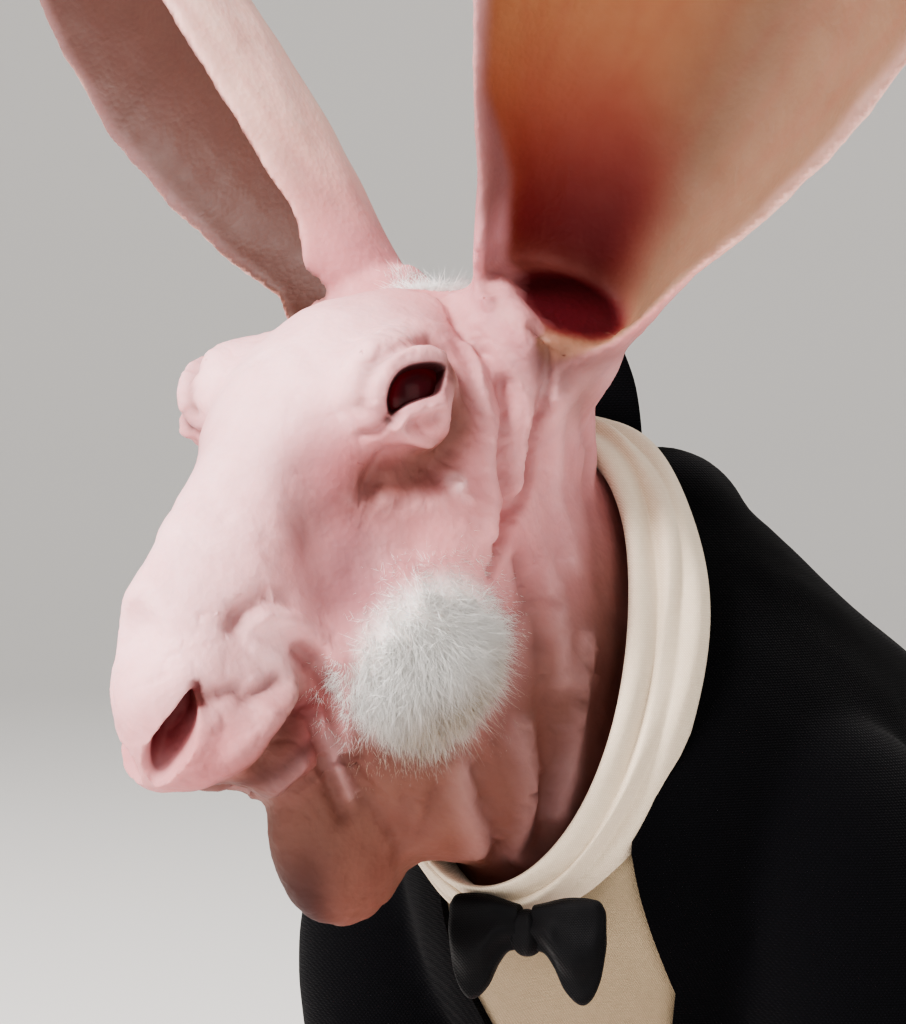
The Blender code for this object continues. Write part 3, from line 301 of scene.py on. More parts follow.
# The folds, ridges and marks of the face and the throat, as drawn over the photograph. Each has its rise
# and half width in mm, and its line in the photograph's pixels
FOLD_LINES = {
    "crease over the lid": (-1.1, 0.8, (
        (361, 405), (362, 385), (370, 367), (385, 352), (400, 343), (416, 338), (432, 341), (447, 352),
        (458, 372),
    )),
    "upper lid": (0.7, 0.9, ((374, 402), (377, 385), (386, 368), (400, 356), (425, 351), (442, 356))),
    "brow above the crease": (0.55, 1.4, (
        (348, 395), (352, 370), (366, 348), (390, 331), (416, 325), (438, 328),
    )),
    "lower lid": (0.85, 0.85, ((396, 426), (408, 414), (422, 408), (442, 402))),
    "second lid fold": (0.6, 0.8, ((400, 424), (410, 438), (424, 445), (432, 447))),
    "inner corner line": (-0.8, 0.7, ((364, 434), (376, 432), (388, 424), (393, 416))),
    "between the lid folds": (-0.8, 0.9, ((412, 426), (425, 424), (440, 418))),
    "hollow under the eye": (-2.4, 1.7, (
        (372, 482), (385, 464), (405, 462), (425, 468), (440, 466), (455, 448), (460, 425), (460, 405),
    )),
    "lower edge of the hollow": (-0.9, 1.3, ((378, 488), (400, 484), (422, 484), (438, 478))),
    "rim under the hollow": (0.4, 1.0, ((356, 498), (385, 503), (420, 505), (440, 500))),
    "wart under the hollow": (1.5, 0.95, ((457, 483),)),
    "small wart behind it": (0.6, 0.6, ((470, 498),)),
    "crease from the ear to the eye": (-1.0, 0.7, (
        (418, 290), (436, 293), (449, 303), (457, 322), (468, 337), (482, 352),
    )),
    "long ridge behind the eye": (0.8, 1.1, (
        (458, 298), (480, 325), (500, 352), (518, 385), (530, 412), (531, 436), (521, 462), (520, 485),
    )),
    "ridge beside the hollow": (0.8, 1.1, (
        (472, 345), (484, 380), (489, 420), (489, 470), (493, 515), (495, 535),
    )),
    "deep fold behind the cheek": (-1.9, 1.0, (
        (505, 385), (510, 410), (506, 440), (505, 475), (513, 500), (508, 520), (501, 545),
    )),
    "lower end of the deep fold": (-0.9, 0.7, ((501, 545), (496, 560), (490, 572))),
    "fold at the head's edge": (-1.5, 0.9, (
        (538, 330), (545, 355), (546, 385), (541, 412), (533, 442), (531, 472), (524, 500), (514, 512),
    )),
    "hollow along that fold": (-0.5, 1.4, ((545, 355), (546, 385), (538, 430), (531, 472))),
    "ridge before the neck": (0.8, 1.6, ((560, 380), (558, 420), (555, 470), (565, 530), (570, 560))),
    "crease down the neck": (-0.5, 1.0, ((585, 400), (590, 450), (592, 510), (598, 580))),
    "above the ear notch": (0.5, 0.9, ((452, 268), (468, 283), (482, 297), (498, 300))),
    "cheek shade": (-0.8, 2.6, ((320, 530), (345, 512), (370, 508))),
    "edge of the snout's side": (-0.5, 2.5, ((300, 470), (312, 520), (320, 570), (330, 600))),
    "bridge ridge": (0.5, 3.5, ((225, 420), (205, 480), (185, 540), (165, 590))),
    "dimple": (-1.2, 1.4, ((234, 625), (240, 618))),
    "over the pad": (-0.9, 1.2, ((240, 615), (262, 600), (285, 598))),
    "top of the whisker pad": (1.3, 1.3, ((252, 622), (275, 612), (298, 622), (320, 642), (340, 662))),
    "outer fold of the pad": (-1.3, 1.1, ((300, 650), (318, 665), (330, 690), (335, 720))),
    "ridge on the pad": (0.5, 1.4, ((255, 650), (280, 665), (300, 690))),
    "fold to the fur": (0.8, 1.0, ((325, 660), (342, 690), (345, 730), (338, 765))),
    "behind the nostril": (-1.0, 0.9, ((198, 698), (215, 694), (236, 688))),
    "nostril wing": (0.7, 1.1, ((205, 720), (195, 742), (178, 760))),
    "nostril roof": (0.4, 1.2, ((140, 715), (160, 695), (182, 678))),
    "lip band": (1.5, 1.8, ((165, 768), (200, 768), (235, 748), (268, 718), (290, 698))),
    "lip groove": (-0.9, 0.9, ((245, 700), (262, 690), (275, 678))),
    "under the lip band": (-2.6, 1.6, ((262, 770), (280, 745), (298, 720), (305, 700))),
    "lower lip": (1.0, 1.1, ((255, 792), (275, 785), (300, 765))),
    "first jaw fold": (-1.2, 1.0, ((312, 705), (318, 740), (330, 780), (345, 815))),
    "second jaw fold": (-0.9, 0.9, ((330, 735), (345, 765), (362, 800))),
    "ridge between the jaw folds": (0.6, 0.9, ((322, 720), (335, 755), (352, 795))),
    "third jaw fold": (-0.9, 0.9, ((350, 760), (372, 800), (395, 835))),
    "chin shade": (-0.5, 2.0, ((285, 800), (300, 790))),
    "throat crease behind the dewlap": (-1.4, 1.2, ((478, 765), (487, 800), (497, 840), (507, 872))),
    "ridge before the throat crease": (1.0, 1.6, ((462, 770), (468, 810), (482, 850))),
    "ridge behind the throat crease": (1.2, 1.8, ((520, 730), (530, 775), (530, 820), (520, 855))),
    "deep throat crease": (-2.0, 1.8, ((548, 700), (552, 750), (548, 800), (535, 850))),
    "ridge behind the deep crease": (1.0, 1.5, ((585, 640), (580, 700), (572, 760), (560, 810))),
    "crease from the cheek to the throat": (-1.0, 1.2, ((520, 560), (535, 620), (545, 680))),
    "ridge behind that crease": (0.8, 1.3, ((545, 560), (560, 620), (565, 680))),
    "short crease under the fur": (-0.9, 1.1, ((440, 790), (432, 815), (425, 835))),
    "shorter crease before it": (-0.8, 1.1, ((408, 800), (405, 830), (402, 850))),
    "ear rim down to the folds": (1.1, 1.6, ((500, 285), (514, 308), (528, 338), (540, 368), (545, 395))),
    "beside the ear rim": (-0.8, 1.2, ((548, 330), (560, 360), (566, 385))),
}
# The edge of the near eye's lids, in the photograph's pixels
LID_EDGE = (
    (386, 400), (390, 384), (398, 371), (410, 364), (425, 361), (438, 361), (447, 366), (446, 380),
    (441, 393), (425, 399), (408, 405), (396, 413), (389, 414),
)
# The brown painted shade that runs down behind the near eye, in the photograph's pixels
BEHIND_EYE = ((452, 368), (455, 380), (460, 402), (462, 425), (450, 447), (430, 458))
# Broad changes of the head's form, in mm: rise, half width, then the line in the head's axes
FORM_STROKES = (
    (1.6, 5.5, ((7.0, 12.5, 5.5), (3.0, 14.0, 6.5))),
    (1.5, 4.5, ((45, 0, -7), (46, 0, -12))),
    (-1.3, 5.5, ((34, 0, 6), (39, 0, 3.5))),
    (0.9, 4.0, ((44.5, 4, -17), (41, 7, -18))),
    (-1.0, 4.5, ((14, 12, -4), (22, 12, -8))),
    (-0.6, 3.0, ((-15, 13, -10), (-12, 17, -13))),
    (1.4, 6.5, ((17, 17, -23), (20, 17, -31))),
    (-1.8, 7.0, ((12, 0, 7.5), (26, 0, 7))),
)
# How much each of the head's axes counts in the distance to a fold's line
FACE_WEIGHTS = (1.0, 0.6, 1.0)
# The shares of the way from the eye's centre to the lids' edge, and past it, at which the opening is cut
LID_CUT = (0.62, 0.7, 0.76, 0.81, 0.86, 0.91, 0.96, 1.0, 1.05, 1.12, 1.25, 1.5)
# How the edges of the lids and of the nostril are rounded: reach in mm, rounds; and the rounds for the ears
LID_ROUNDING = (0.8, 5)
NOSTRIL_ROUNDING = (2.6, 8)
EAR_ROUNDS = 8
# The eyeball, in mm in the head's axes: centre, radius
EYEBALL_AT = (-3.5, 13.6, -3.9)
EYEBALL_RADIUS = 6.2
# How much the eye looks ahead and up, and its clear bulge, as shares of the radius: the ball, where the bulge
# begins, how much it stands out
EYE_LOOK = 0.25
BALL_SHARE = 0.98
CORNEA_FROM = 0.78
CORNEA_BULGE = 0.2
# The edge of the nostril, in mm in the head's axes, the point inside that it is cut toward, and the shares
# of the way from that point to the edge, and past it
NOSTRIL_RIM = (
    (41.1, 6.1, -5.9),
    (41.9, 6.0, -7.5),
    (43.2, 5.5, -9.0),
    (44.8, 4.7, -10.0),
    (46.5, 3.6, -10.7),
    (47.9, 2.2, -11.4),
    (48.2, 1.2, -11.3),
    (47.8, 0.9, -10.3),
    (46.7, 1.0, -9.0),
    (45.5, 1.6, -7.9),
    (44.4, 3.0, -6.9),
    (43.2, 4.4, -6.4),
    (42.0, 5.4, -5.9),
)
NOSTRIL_TOWARD = (38.8, 1.9, -7.0)
# Where the nostril's rounded edge ends, as such a share, and how many points of its rim line get a painted
# shade
NOSTRIL_EDGE = 1.18
NOSTRIL_DARK_POINTS = 30
NOSTRIL_CUT = (0.55, 0.65, 0.75, 0.85, 0.93, 1.0, 1.06, 1.12, 1.18, 1.24, 1.3, 1.36, 1.45, 1.6, 1.9)
# The line between the lips, painted dark as shade, in mm in the head's axes
LIP_LINE = (
    (47.5, 0.0, -18.5),
    (45.5, 4.0, -20.5),
    (42.5, 8.3, -21.5),
    (39.0, 10.8, -21.8),
    (35.5, 11.3, -23.2),
)
# Folds round the neck: how far apart and how deep in mm, and how far along the neck they reach
NECK_FOLDS = (4.6, 0.25, 20.0)
NECK_FOLD_WANDER = 2.4
# Creases of the head: how the skin is stretched for them along the head's axes, how far apart they are in mm
# with the seeds of their draws, and the depth of both kinds; then the heights of two kinds of bumps, in mm
CREASE_STRETCH = (1.5, 0.8, 0.8)
CREASE_KINDS = ((7, 6), (3.6, 7))
LARGE_CREASE = 0.16
SMALL_CREASE = 0.10
SMALL_BUMP = 0.10
LARGE_BUMP = 0.16

# Colours, as a painter would mix them, from 0 to 255
PINK = (221, 158, 160)
PALE = (255, 212, 215)
ROSE = (194, 112, 116)
MAUVE = (146, 98, 104)
# Dusky painted shade: in creases, the hollow under the eye, round the nostril, under the chin and jaw, low on
# the neck and at the bottom of the feet
DUSKY_SHADE = (110, 68, 62)
# Dark red painted shade: the line between the lips, the walls of the eye's opening, the notch by the ear, and
# the neck by the collar
DARK_RED_SHADE = (52, 6, 10)
# Painted shade inside the nostrils
NOSTRIL_SHADE = (84, 14, 18)
# Brown painted shade: under the lip and jaw, in and behind the hollow under the eye, below the ear and along
# the neck
BROWN_SHADE = (120, 82, 70)
# The dewlap's red-brown, partly its own colour and partly painted shade; the next tone is painted shade on
# its side away from the light
DEWLAP_TONE = (124, 80, 68)
DEWLAP_SHADE = (54, 20, 18)
EYE_RED = (84, 6, 16)
EYE_RIM = (78, 5, 15)
EYE_IRIS = (84, 8, 17)
EYE_PUPIL = (54, 3, 11)
# The bottom of an ear's cup: partly the ear's own deep red, partly painted shade
EAR_DEEP = (88, 6, 20)
EAR_RED = (128, 32, 38)
# Painted shade in the hollow at the bottom of each ear
CANAL_SHADE = (66, 8, 16)
EAR_WARM = (158, 108, 76)
EAR_TAN = (118, 92, 74)
EAR_RIM = (142, 100, 102)
EAR_RIM_LOW = (206, 150, 156)
EAR_BACK = (238, 202, 190)
EAR_SHADE = (72, 42, 36)
# The red core of an ear's cup, partly the ear's own red and partly painted shade, darkest at the bottom:
# colour, softness across the leaf, and where it fades, as shares of the length
EAR_CORES = ((EAR_RED, 0.42, 0.36, 0.16), (EAR_DEEP, 0.22, 0.26, 0.08))
# How strongly the left ear (1) and the right ear (-1) are shaded inside, and how strong their margins are
EAR_SHADES = {1: 0.0, -1: 0.92}
EAR_RIMS = {1: 0.9, -1: 0.25}
# The shaded skin beside the bottom of the ear, in mm in the head's axes
BESIDE_EAR = ((-30, 24, -20), (-23.3, 24, -15.4), (-20.7, 22.5, -15))
# The direction, in the head's axes, in which the dewlap's shade gives way to light
DEWLAP_LIT_SIDE = (-0.439, 0.743, -0.505)
WHITE_FUR = (255, 254, 250)
# Painted shade on the cheek fur's lower side, toward the throat, and on the skin under it: beige, then brown
FUR_SHADE_BEIGE = (168, 142, 108)
FUR_SHADE_BROWN = (112, 82, 60)

# Soft patches of colour on the head, laid in this order: colour, half width in mm, strength, and the line
# that the patch runs along, in mm in the head's axes
MUZZLE_PATCHES = (
    # Painted highlights along the bridge of the nose and on the brow
    (PALE, 11, 0.8, ((0, 0, 7), (20, 0, 6), (38, 0, 0))),
    (PALE, 8, 0.5, ((-12, 5, 4), (-2, 6, 8))),
    # Painted shade on the side of the snout
    (MAUVE, 6.5, 0.8, ((10, 12, -3), (14, 12, -9), (19, 12, -14))),
    (ROSE, 6, 0.4, ((46, 0, -12),)),
    (ROSE, 5, 0.8, ((33, 11, -20), (36, 11, -23))),
    (PALE, 3.5, 0.6, ((31, 9.5, -9), (33, 9, -13))),
    (ROSE, 3.0, 0.5, ((47, 3, -16), (43, 7.5, -17.5), (38, 10, -17))),
    # Painted shade under the lip band, on the line between the lips, under the chin and down the jaw
    (BROWN_SHADE, 3.0, 0.85, ((44, 7, -20), (38, 10.5, -18.5), (33, 10.5, -17))),
    (DARK_RED_SHADE, 1.3, 0.75, LIP_LINE),
    (DUSKY_SHADE, 5.5, 0.85, ((44, 3, -27), (36, 9, -28), (32, 11, -30))),
    (BROWN_SHADE, 7, 0.85, ((41, 4, -32), (35, 10, -36), (30, 13, -41))),
)
EYE_HOLLOW = ((7, 14, -8), (3.5, 15.5, -11), (0, 16.7, -12.5), (-4, 17, -12), (-8.5, 17, -9.5))
EYE_PATCHES = (
    (ROSE, 2.5, 0.35, ((44, 5, -12), (47, 2, -13))),
    (ROSE, 6, 0.6, ((8, 15, -6), (2, 16, -11), (-6, 17, -13))),
    # Painted shade in the hollow under the eye
    (BROWN_SHADE, 3.3, 0.8, EYE_HOLLOW),
    (DUSKY_SHADE, 2.2, 0.3, EYE_HOLLOW),
    (PALE, 1.2, 0.9, ((0.1, 17.3, -16.1),)),
)
EAR_PATCHES = (
    # Painted shade in the notch at the ear's base and on the skin below the ear
    (DARK_RED_SHADE, 2.6, 0.85, (EAR_NOTCH[0],)),
    (BROWN_SHADE, 4, 0.5, ((-25, 24, -14), (-22, 24, -19), (-21, 21, -24))),
    (MAUVE, 6, 0.35, ((-16, 14, -8), (-14, 17, -12), (-18, 21, -14))),
)
# How much each of the head's axes counts in the distance to a patch's line
PATCH_WEIGHTS = (1, 0.5, 1)
# The shade in a crease for each mm of its depth, its limit, how much wider than the crease it is, and the
# light on a ridge
CREASE_SHADE = 0.5
CREASE_SHADE_MOST = 0.6
CREASE_SHADE_WIDTH = 1.1
RIDGE_LIGHT = 0.18

# White fur: its patch on the cheek, in mm along the face and to the crown, with its radii, then how many
# hairs and how long, for the cheek, for the down among them and for the crown
CHEEK_CENTRE = (19.4, -27.2)
CHEEK_RADII = (11.8, 9.6)
# How far to the side the patch's middle lies and how deep the patch is, in mm, how far its skin has to face
# the side, and how uneven its edge is
CHEEK_OUT = 17.0
FUR_DEEP = 12
FUR_FACING = 0.15
FUR_UNEVEN = 0.3
# How much the fur lies back and hangs, spreads from its middle, clumps and strays, and its clumps' size in mm
FUR_BACK = 0.35
FUR_HANG = 0.8
FUR_AWAY = 0.22
FUR_CLUMP = 0.4
FUR_STRAY = 0.2
CLUMP_SIZE = 3.0
# The way down the fur along these two axes, and its level at the patch's middle, in mm
FUR_DOWN = (0.23, -0.82)
FUR_LEVEL = 4.8
CHEEK_HAIRS = 19000
CHEEK_HAIR_LENGTH = (3.5, 7.0)
DOWN_HAIRS = 19000
DOWN_HAIR_LENGTH = (1.8, 3.8)
CROWN_HAIRS = 6000
CROWN_HAIR_LENGTH = (4.0, 7.5)
HAIR_WIDTH = 0.085
DOWN_WIDTH = 0.07
# A hair: where its sections lie as shares of its length, how much it lifts off the skin and bends back down,
# how much it curls, how deep its root sits in mm, and how much its width varies
HAIR_SECTIONS = (0.0, 0.48)
HAIR_LIFT = (0.14, 0.5)
HAIR_BEND = 0.38
HAIR_CURL = 0.22
HAIR_ROOT = 0.5
HAIR_WIDTHS = (0.7, 1.3)
# How far the hair and the down reach past the cheek's patch
HAIR_REACH = 1.0
DOWN_REACH = 1.9
FUR_SEED = 23
CROWN_CENTRE = (-32.0, -1.0, -9.5)
CROWN_RADIUS = 6.0

# The cloth of the coat and of the shirt front, in mm: their thickness, the gap between them, how far the
# shirt front runs on under the coat's edges, and the angle in degrees past which an edge stays sharp
CLOTH_THICKNESS = 1.3
SHIRT_UNDER = 0.7
SHIRT_GAP = 0.05
SHIRT_TUCK = 5
CLOTH_EDGE = 42
# The finishes, in the order coat, collar, bow, shirt front: name, its dark and light tone, loops per metre,
# height of the loops in metres, roughness, sheen
CLOTHS = (
    ("black knit", (2, 2, 4), (5, 5, 9), 900, 0.00018, 0.95, 0.02),
    ("cream jersey", (222, 204, 180), (240, 226, 206), 1500, 0.00015, 0.85, 0.2),
    ("black satin", (4, 4, 6), (8, 8, 11), 1500, 0.0001, 0.5, 0.04),
    # The shirt front: the collar's cream jersey painted darker, as shade
    ("cream jersey in painted shade", (148, 132, 108), (170, 152, 126), 1500, 0.00015, 0.85, 0.1),
)
# The collar's profile, outward from the neck and forward along it, in mm, and how often it is set round it
COLLAR_FINE = (
    (0.6, -2.6),
    (0.5, 1.5),
    (0.6, 5.0),
    (1.3, 7.6),
    (2.6, 8.6),
    (3.9, 7.9),
    (4.5, 6.3),
    (4.9, 5.1),
    (5.7, 5.3),
    (6.6, 5.2),
    (7.2, 4.0),
    (7.4, 2.8),
    (8.1, 2.4),
    (9.0, 1.6),
    (9.3, -0.2),
    (8.6, -2.4),
)
COLLAR_FINE_COUNT = 180
# Gathers of the collar: height in mm, how many go round it, how much they slant across it
GATHERS = ((0.35, 3, 9), (0.25, 7, -14))
# How far the collar's inner roll hangs open at its lower left, in mm, and where, in radians round the neck
COLLAR_SLACK = 3.0
SLACK_AT = 1.15
# Where the band is narrowest at the throat, in radians round the neck
THROAT_AT = 1.9
# Where the band's width shrinks to at the throat, in mm outside its middle line
COLLAR_TIGHT = 2.0
# How far the whole bow is moved from its place, its pleats and their depths as shares of its thickness
BOW_SHIFT = Vector((-0.3, 1.2, 2.7)) * MM
PLEATS = 5
PLEAT_DEPTH = 0.22
KNOT_PLEATS = 6
KNOT_PLEAT_DEPTH = 0.06
# Half of the bow, outward from its middle: distance, low edge, high edge, half thickness, in mm
WING_FINE = (
    (1.0, -2.2, 3.6, 1.6),
    (2.6, -2.6, 4.0, 2.0),
    (4.0, -4.4, 4.4, 2.4),
    (5.4, -7.2, 4.7, 2.5),
    (7.2, -8.8, 4.8, 2.3),
    (8.6, -8.2, 4.7, 1.9),
    (9.8, -5.8, 4.4, 1.4),
    (10.5, -2.5, 3.4, 0.7),
)

# The camera: its heading, its distance from the eyes, how far its aim lies off them to the right and up, all
# in metres, its lens and sensor in mm, and the photograph's width and height in pixels
CAMERA_HEADING = math.radians(30)
CAMERA_DISTANCE = 0.400
CAMERA_AIM = (0.0204, -0.01425)
CAMERA_LENS = 112.5
CAMERA_SENSOR = 36
PHOTO_SIZE = (906, 1024)
# The floor's profile, rising into a backdrop far behind the model: distance behind it, height, in metres
SWEEP = ((-4, 0), (2.2, 0), (2.6, 0.05), (3.0, 0.2), (3.3, 0.45), (3.5, 0.8), (3.6, 1.3), (3.6, 4))
# How far the floor reaches to each side, in metres, and the even light of the room: its tone, its strength
FLOOR_REACH = 6
WORLD_TONE = (1.0, 0.98, 0.96, 1)
WORLD_LIGHT = 0.5
# The lowest that the feet reach above the floor
SOLE_LEVEL = 0.3 * MM
# Where the leaf of an ear begins, inside the head, as a share of its length
EAR_FOOT = -0.06
# Soft folds of the coat, in mm: rise, half width, line (y, x, z)
CLOTH_STROKES = (
    (2.6, 14.0, ((-28, 4, 150), (-10, 6, 146), (10, 6, 138))),
    (0.9, 3.5, ((-52, 38, 104), (-30, 46, 84), (-14, 48, 62))),
    (-0.8, 3.0, ((-44, 42, 108), (-22, 46, 88), (-6, 46, 64))),
    (0.8, 3.5, ((-30, 40, 118), (-8, 46, 96), (6, 47, 74))),
    (-0.7, 3.0, ((-22, 36, 124), (0, 44, 104), (14, 46, 84))),
    (0.7, 4.0, ((-40, 20, 140), (-20, 26, 136), (4, 30, 124))),
    (0.8, 3.0, ((-58, 36, 76), (-50, 40, 66))),
    (-0.7, 2.6, ((-60, 34, 70), (-50, 40, 60))),
    (-0.6, 3.2, ((-34, 8, 152), (-14, 12, 140), (10, 16, 130))),
)
# Lights: name, offset from the eyes in metres, power, size, colour
LIGHTS = (
    ("key", (-0.34, -0.98, 0.85), 44.0, 0.42, (1.0, 0.95, 0.93)),
    ("fill", (1.2, -0.7, 0.25), 4.5, 0.9, (1.0, 0.92, 0.85)),
    ("rim", (0.4, 1.0, 0.9), 3.5, 0.6, (1.0, 0.97, 0.94)),
)


def add_object(name, bm):
    """A new object in the scene from a bmesh, which is freed."""
    mesh = bpy.data.meshes.new(name)
    bm.normal_update()
    bm.to_mesh(mesh)
    bm.free()
    obj = bpy.data.objects.new(name, mesh)
    bpy.context.scene.collection.objects.link(obj)
    return obj


def copy_of(obj, name):
    made = bpy.data.objects.new(name, obj.data.copy())
    bpy.context.scene.collection.objects.link(made)
    return made


def apply_modifiers(obj):
    """Turns the object's evaluated shape into its own mesh."""
    graph = bpy.context.evaluated_depsgraph_get()
    mesh = bpy.data.meshes.new_from_object(obj.evaluated_get(graph))
    obj.modifiers.clear()
    obj.data = mesh
    return obj


def smooth_rows(rows, steps):
    """Catmull-Rom rows through the given rows, with a number of steps between each two."""
    rows = np.array(rows, float)
    padded = np.vstack([2 * rows[0] - rows[1], rows, 2 * rows[-1] - rows[-2]])
    made = []
    for i in range(1, len(padded) - 2):
        a, b, c, d = padded[i - 1 : i + 3]
        for step in range(steps):
            t = step / steps
            made.append(
                0.5 * (2 * b + (c - a) * t + (2 * a - 5 * b + 4 * c - d) * t**2)
                + 0.5 * (3 * b - a - 3 * c + d) * t**3
            )
    made.append(rows[-1])
    return np.array(made)


def ring(centre, side, up, half_width, rise, drop, points=28):
    """An oval ring of points round a centre, as high as rise above it and as low as drop below it."""
    made = []
    for i in range(points):
        angle = 2 * math.pi * i / points
        height = math.sin(angle) * (rise if math.sin(angle) > 0 else drop)
        made.append(centre + side * (math.cos(angle) * half_width) + up * height)
    return made


def loft(name, rings, round_again=False):
    """A closed body through rings of points: both ends are capped, or the last ring meets the first."""
    bm = bmesh.new()
    rows = [[bm.verts.new(point) for point in points] for points in rings]
    for low, high in zip(rows, rows[1:] + rows[:1] * round_again):
        for i in range(len(low)):
            j = (i + 1) % len(low)
            bm.faces.new((low[i], low[j], high[j], high[i]))
    if not round_again:
        bm.faces.new(rows[0])
        bm.faces.new(rows[-1])
    bmesh.ops.recalc_face_normals(bm, faces=bm.faces)
    return add_object(name, bm)


def path_loft(name, path, mirror=1, grow=0.0, steps=4, points=28):
    """A limb or trunk: oval sections square to a path of rows (x, y, z, half width, half height), in mm."""
    rows = smooth_rows(path, steps) * MM
    centres = [Vector((mirror * row[0], row[1], row[2])) for row in rows]
    rings = []
    for i, row in enumerate(rows):
        ahead = centres[min(i + 1, len(rows) - 1)] - centres[max(i - 1, 0)]
        tangent = ahead.normalized()
        side = Vector((1, 0, 0))
        side = (side - tangent * side.dot(tangent)).normalized()
        up = side.cross(tangent)
        wide, high = row[3] + grow * MM, row[4] + grow * MM
        rings.append(ring(centres[i], side, up, wide, high, high, points))
    return loft(name, rings)


def ellipsoid(name, centre, radii, axes=None, segments=24):
    bm = bmesh.new()
    bmesh.ops.create_uvsphere(bm, u_segments=segments, v_segments=segments // 2, radius=1)
    turn = (axes or Matrix.Identity(3)).to_4x4()
    place = Matrix.Translation(centre) @ turn @ Matrix.Diagonal((*radii, 1))
    bmesh.ops.transform(bm, matrix=place, verts=bm.verts)
    return add_object(name, bm)


def in_head(point):
    """A point given in mm in the head's own axes, in the model's frame."""
    return EYES_AT + HEAD_AXES @ (Vector(point) * MM)


def camera_axes():
    """The camera's direction back from what it looks at, and its right."""
    back = Vector((math.sin(CAMERA_HEADING), -math.cos(CAMERA_HEADING), 0))
    return back, Vector((math.cos(CAMERA_HEADING), math.sin(CAMERA_HEADING), 0))


def cast_line(skin, pixels):
    """A line drawn in pixels as it falls on the skin, in mm in the head's axes, to a tenth of a mm."""
    back, right = camera_axes()
    up = Vector((0, 0, 1))
    camera = EYES_AT + right * CAMERA_AIM[0] + up * CAMERA_AIM[1] + back * CAMERA_DISTANCE
    width, height = PHOTO_SIZE
    far = CAMERA_LENS / CAMERA_SENSOR * max(width, height)
    line = []
    for x, y in pixels:
        sight = (right * (x - width / 2) - up * (y - height / 2) - back * far).normalized()
        place = skin_point(skin, camera, sight)
        if place is not None:
            line.append(tuple(round(value, 1) for value in HEAD_AXES.transposed() @ (place - EYES_AT) * 1000))
    return tuple(line)


def cast_drawing(skin):
    """All that is drawn in pixels, cast on the fused skin: the folds, the lids' edge and the painted shade
    behind the eye.
    """
    bpy.context.view_layer.update()
    folds = [(rise, width, cast_line(skin, pixels)) for rise, width, pixels in FOLD_LINES.values()]
    return {"folds": folds, "lid rim": cast_line(skin, LID_EDGE), "brown": cast_line(skin, BEHIND_EYE)}


def head_masses():
    """The skull with the jaw, the nose and chin, the whisker pads, the cheeks and the lids."""
    rows = smooth_rows(HEAD_PATH, 3)
    rings = []
    for i, (f, u, wide, rise, drop) in enumerate(rows):
        ahead = rows[min(i + 1, len(rows) - 1)] - rows[max(i - 1, 0)]
        tangent = (FACE * -ahead[0] + CROWN * -ahead[1]).normalized()
        up = tangent.cross(HEAD_SIDE) * -1
        rings.append(ring(in_head((f, 0, u)), HEAD_SIDE, up, wide * MM, rise * MM, drop * MM))
    masses = [loft("skull", rings)]
    for centre, radii in HEAD_MIDDLES:
        masses.append(ellipsoid("mass", in_head(centre), Vector(radii) * MM, HEAD_AXES))
    for mirror in SIDES.values():
        for (f, side, up), radii in HEAD_PAIRS:
            place = in_head((f, mirror * side, up))
            masses.append(ellipsoid("mass", place, Vector(radii) * MM, HEAD_AXES))
        lid = EYE_RADIUS + GAP + LID_THICKNESS
        masses.append(ellipsoid("lids", eye_centre(mirror), (lid, lid, lid)))
    return masses


def eye_centre(mirror):
    f, side, up = EYE_CENTRE
    return in_head((f, mirror * side, up))


def ear_stump(mirror):
    """The fleshy base that carries an ear, out past the level where the ear begins."""
    along, opens, wide = ear_axes(mirror)
    root = ear_root(mirror)
    rings = []
    for reach, radius in EAR_STUMP:
        centre = root + along * (reach * MM)
        rings.append(ring(centre, wide, opens, radius * MM, radius * MM, radius * MM, points=20))
    return loft("stump", rings)


def body_masses():
    """The trunk, neck, dewlap and tail, the stumps that carry the ears, and the limbs."""
    centre, radii = DEWLAP
    masses = [
        path_loft("trunk", TORSO_SECTIONS),
        path_loft("neck", NECK_SECTIONS),
        path_loft("tail", TAIL_PATH),
        ellipsoid("dewlap", Vector(centre) * MM, Vector(radii) * MM),
    ]
    for mirror in SIDES.values():
        masses.append(ear_stump(mirror))
        masses.append(path_loft("foreleg", FORELEG_PATH, mirror))
        masses.append(path_loft("forepaw", FOREPAW_PATH, mirror))
        masses.append(path_loft("hind foot", HIND_FOOT_PATH, mirror))
        masses.append(path_loft("thigh", THIGH_PATH, mirror))
        (x, y, z), radii = HOCK
        place = Vector((mirror * x, y, z)) * MM
        masses.append(ellipsoid("hock", place, Vector(radii) * MM))
    return masses


def join(name, objects):
    """One mesh of several objects' meshes, which are removed."""
    bm = bmesh.new()
    for obj in objects:
        bm.from_mesh(obj.data)
        bpy.data.objects.remove(obj)
    return add_object(name, bm)


def fuse(obj, grid, rounds):
    """Overlapping masses become one smooth closed skin."""
    remesh = obj.modifiers.new("fuse", "REMESH")
    remesh.mode = "VOXEL"
    remesh.voxel_size = grid
    smooth = obj.modifiers.new("soften", "SMOOTH")
    smooth.factor = 0.5
    smooth.iterations = rounds
    return apply_modifiers(obj)


def line_distance(points, line):
    """How far each point is from a line of straight lengths, or from its one point."""
    best = np.linalg.norm(points - line[0], axis=1)
    for start, end in zip(line, line[1:]):
        length = end - start
        share = np.clip((points - start) @ length / (length @ length), 0, 1)
        best = np.minimum(best, np.linalg.norm(points - start - share[:, None] * length, axis=1))
    return best


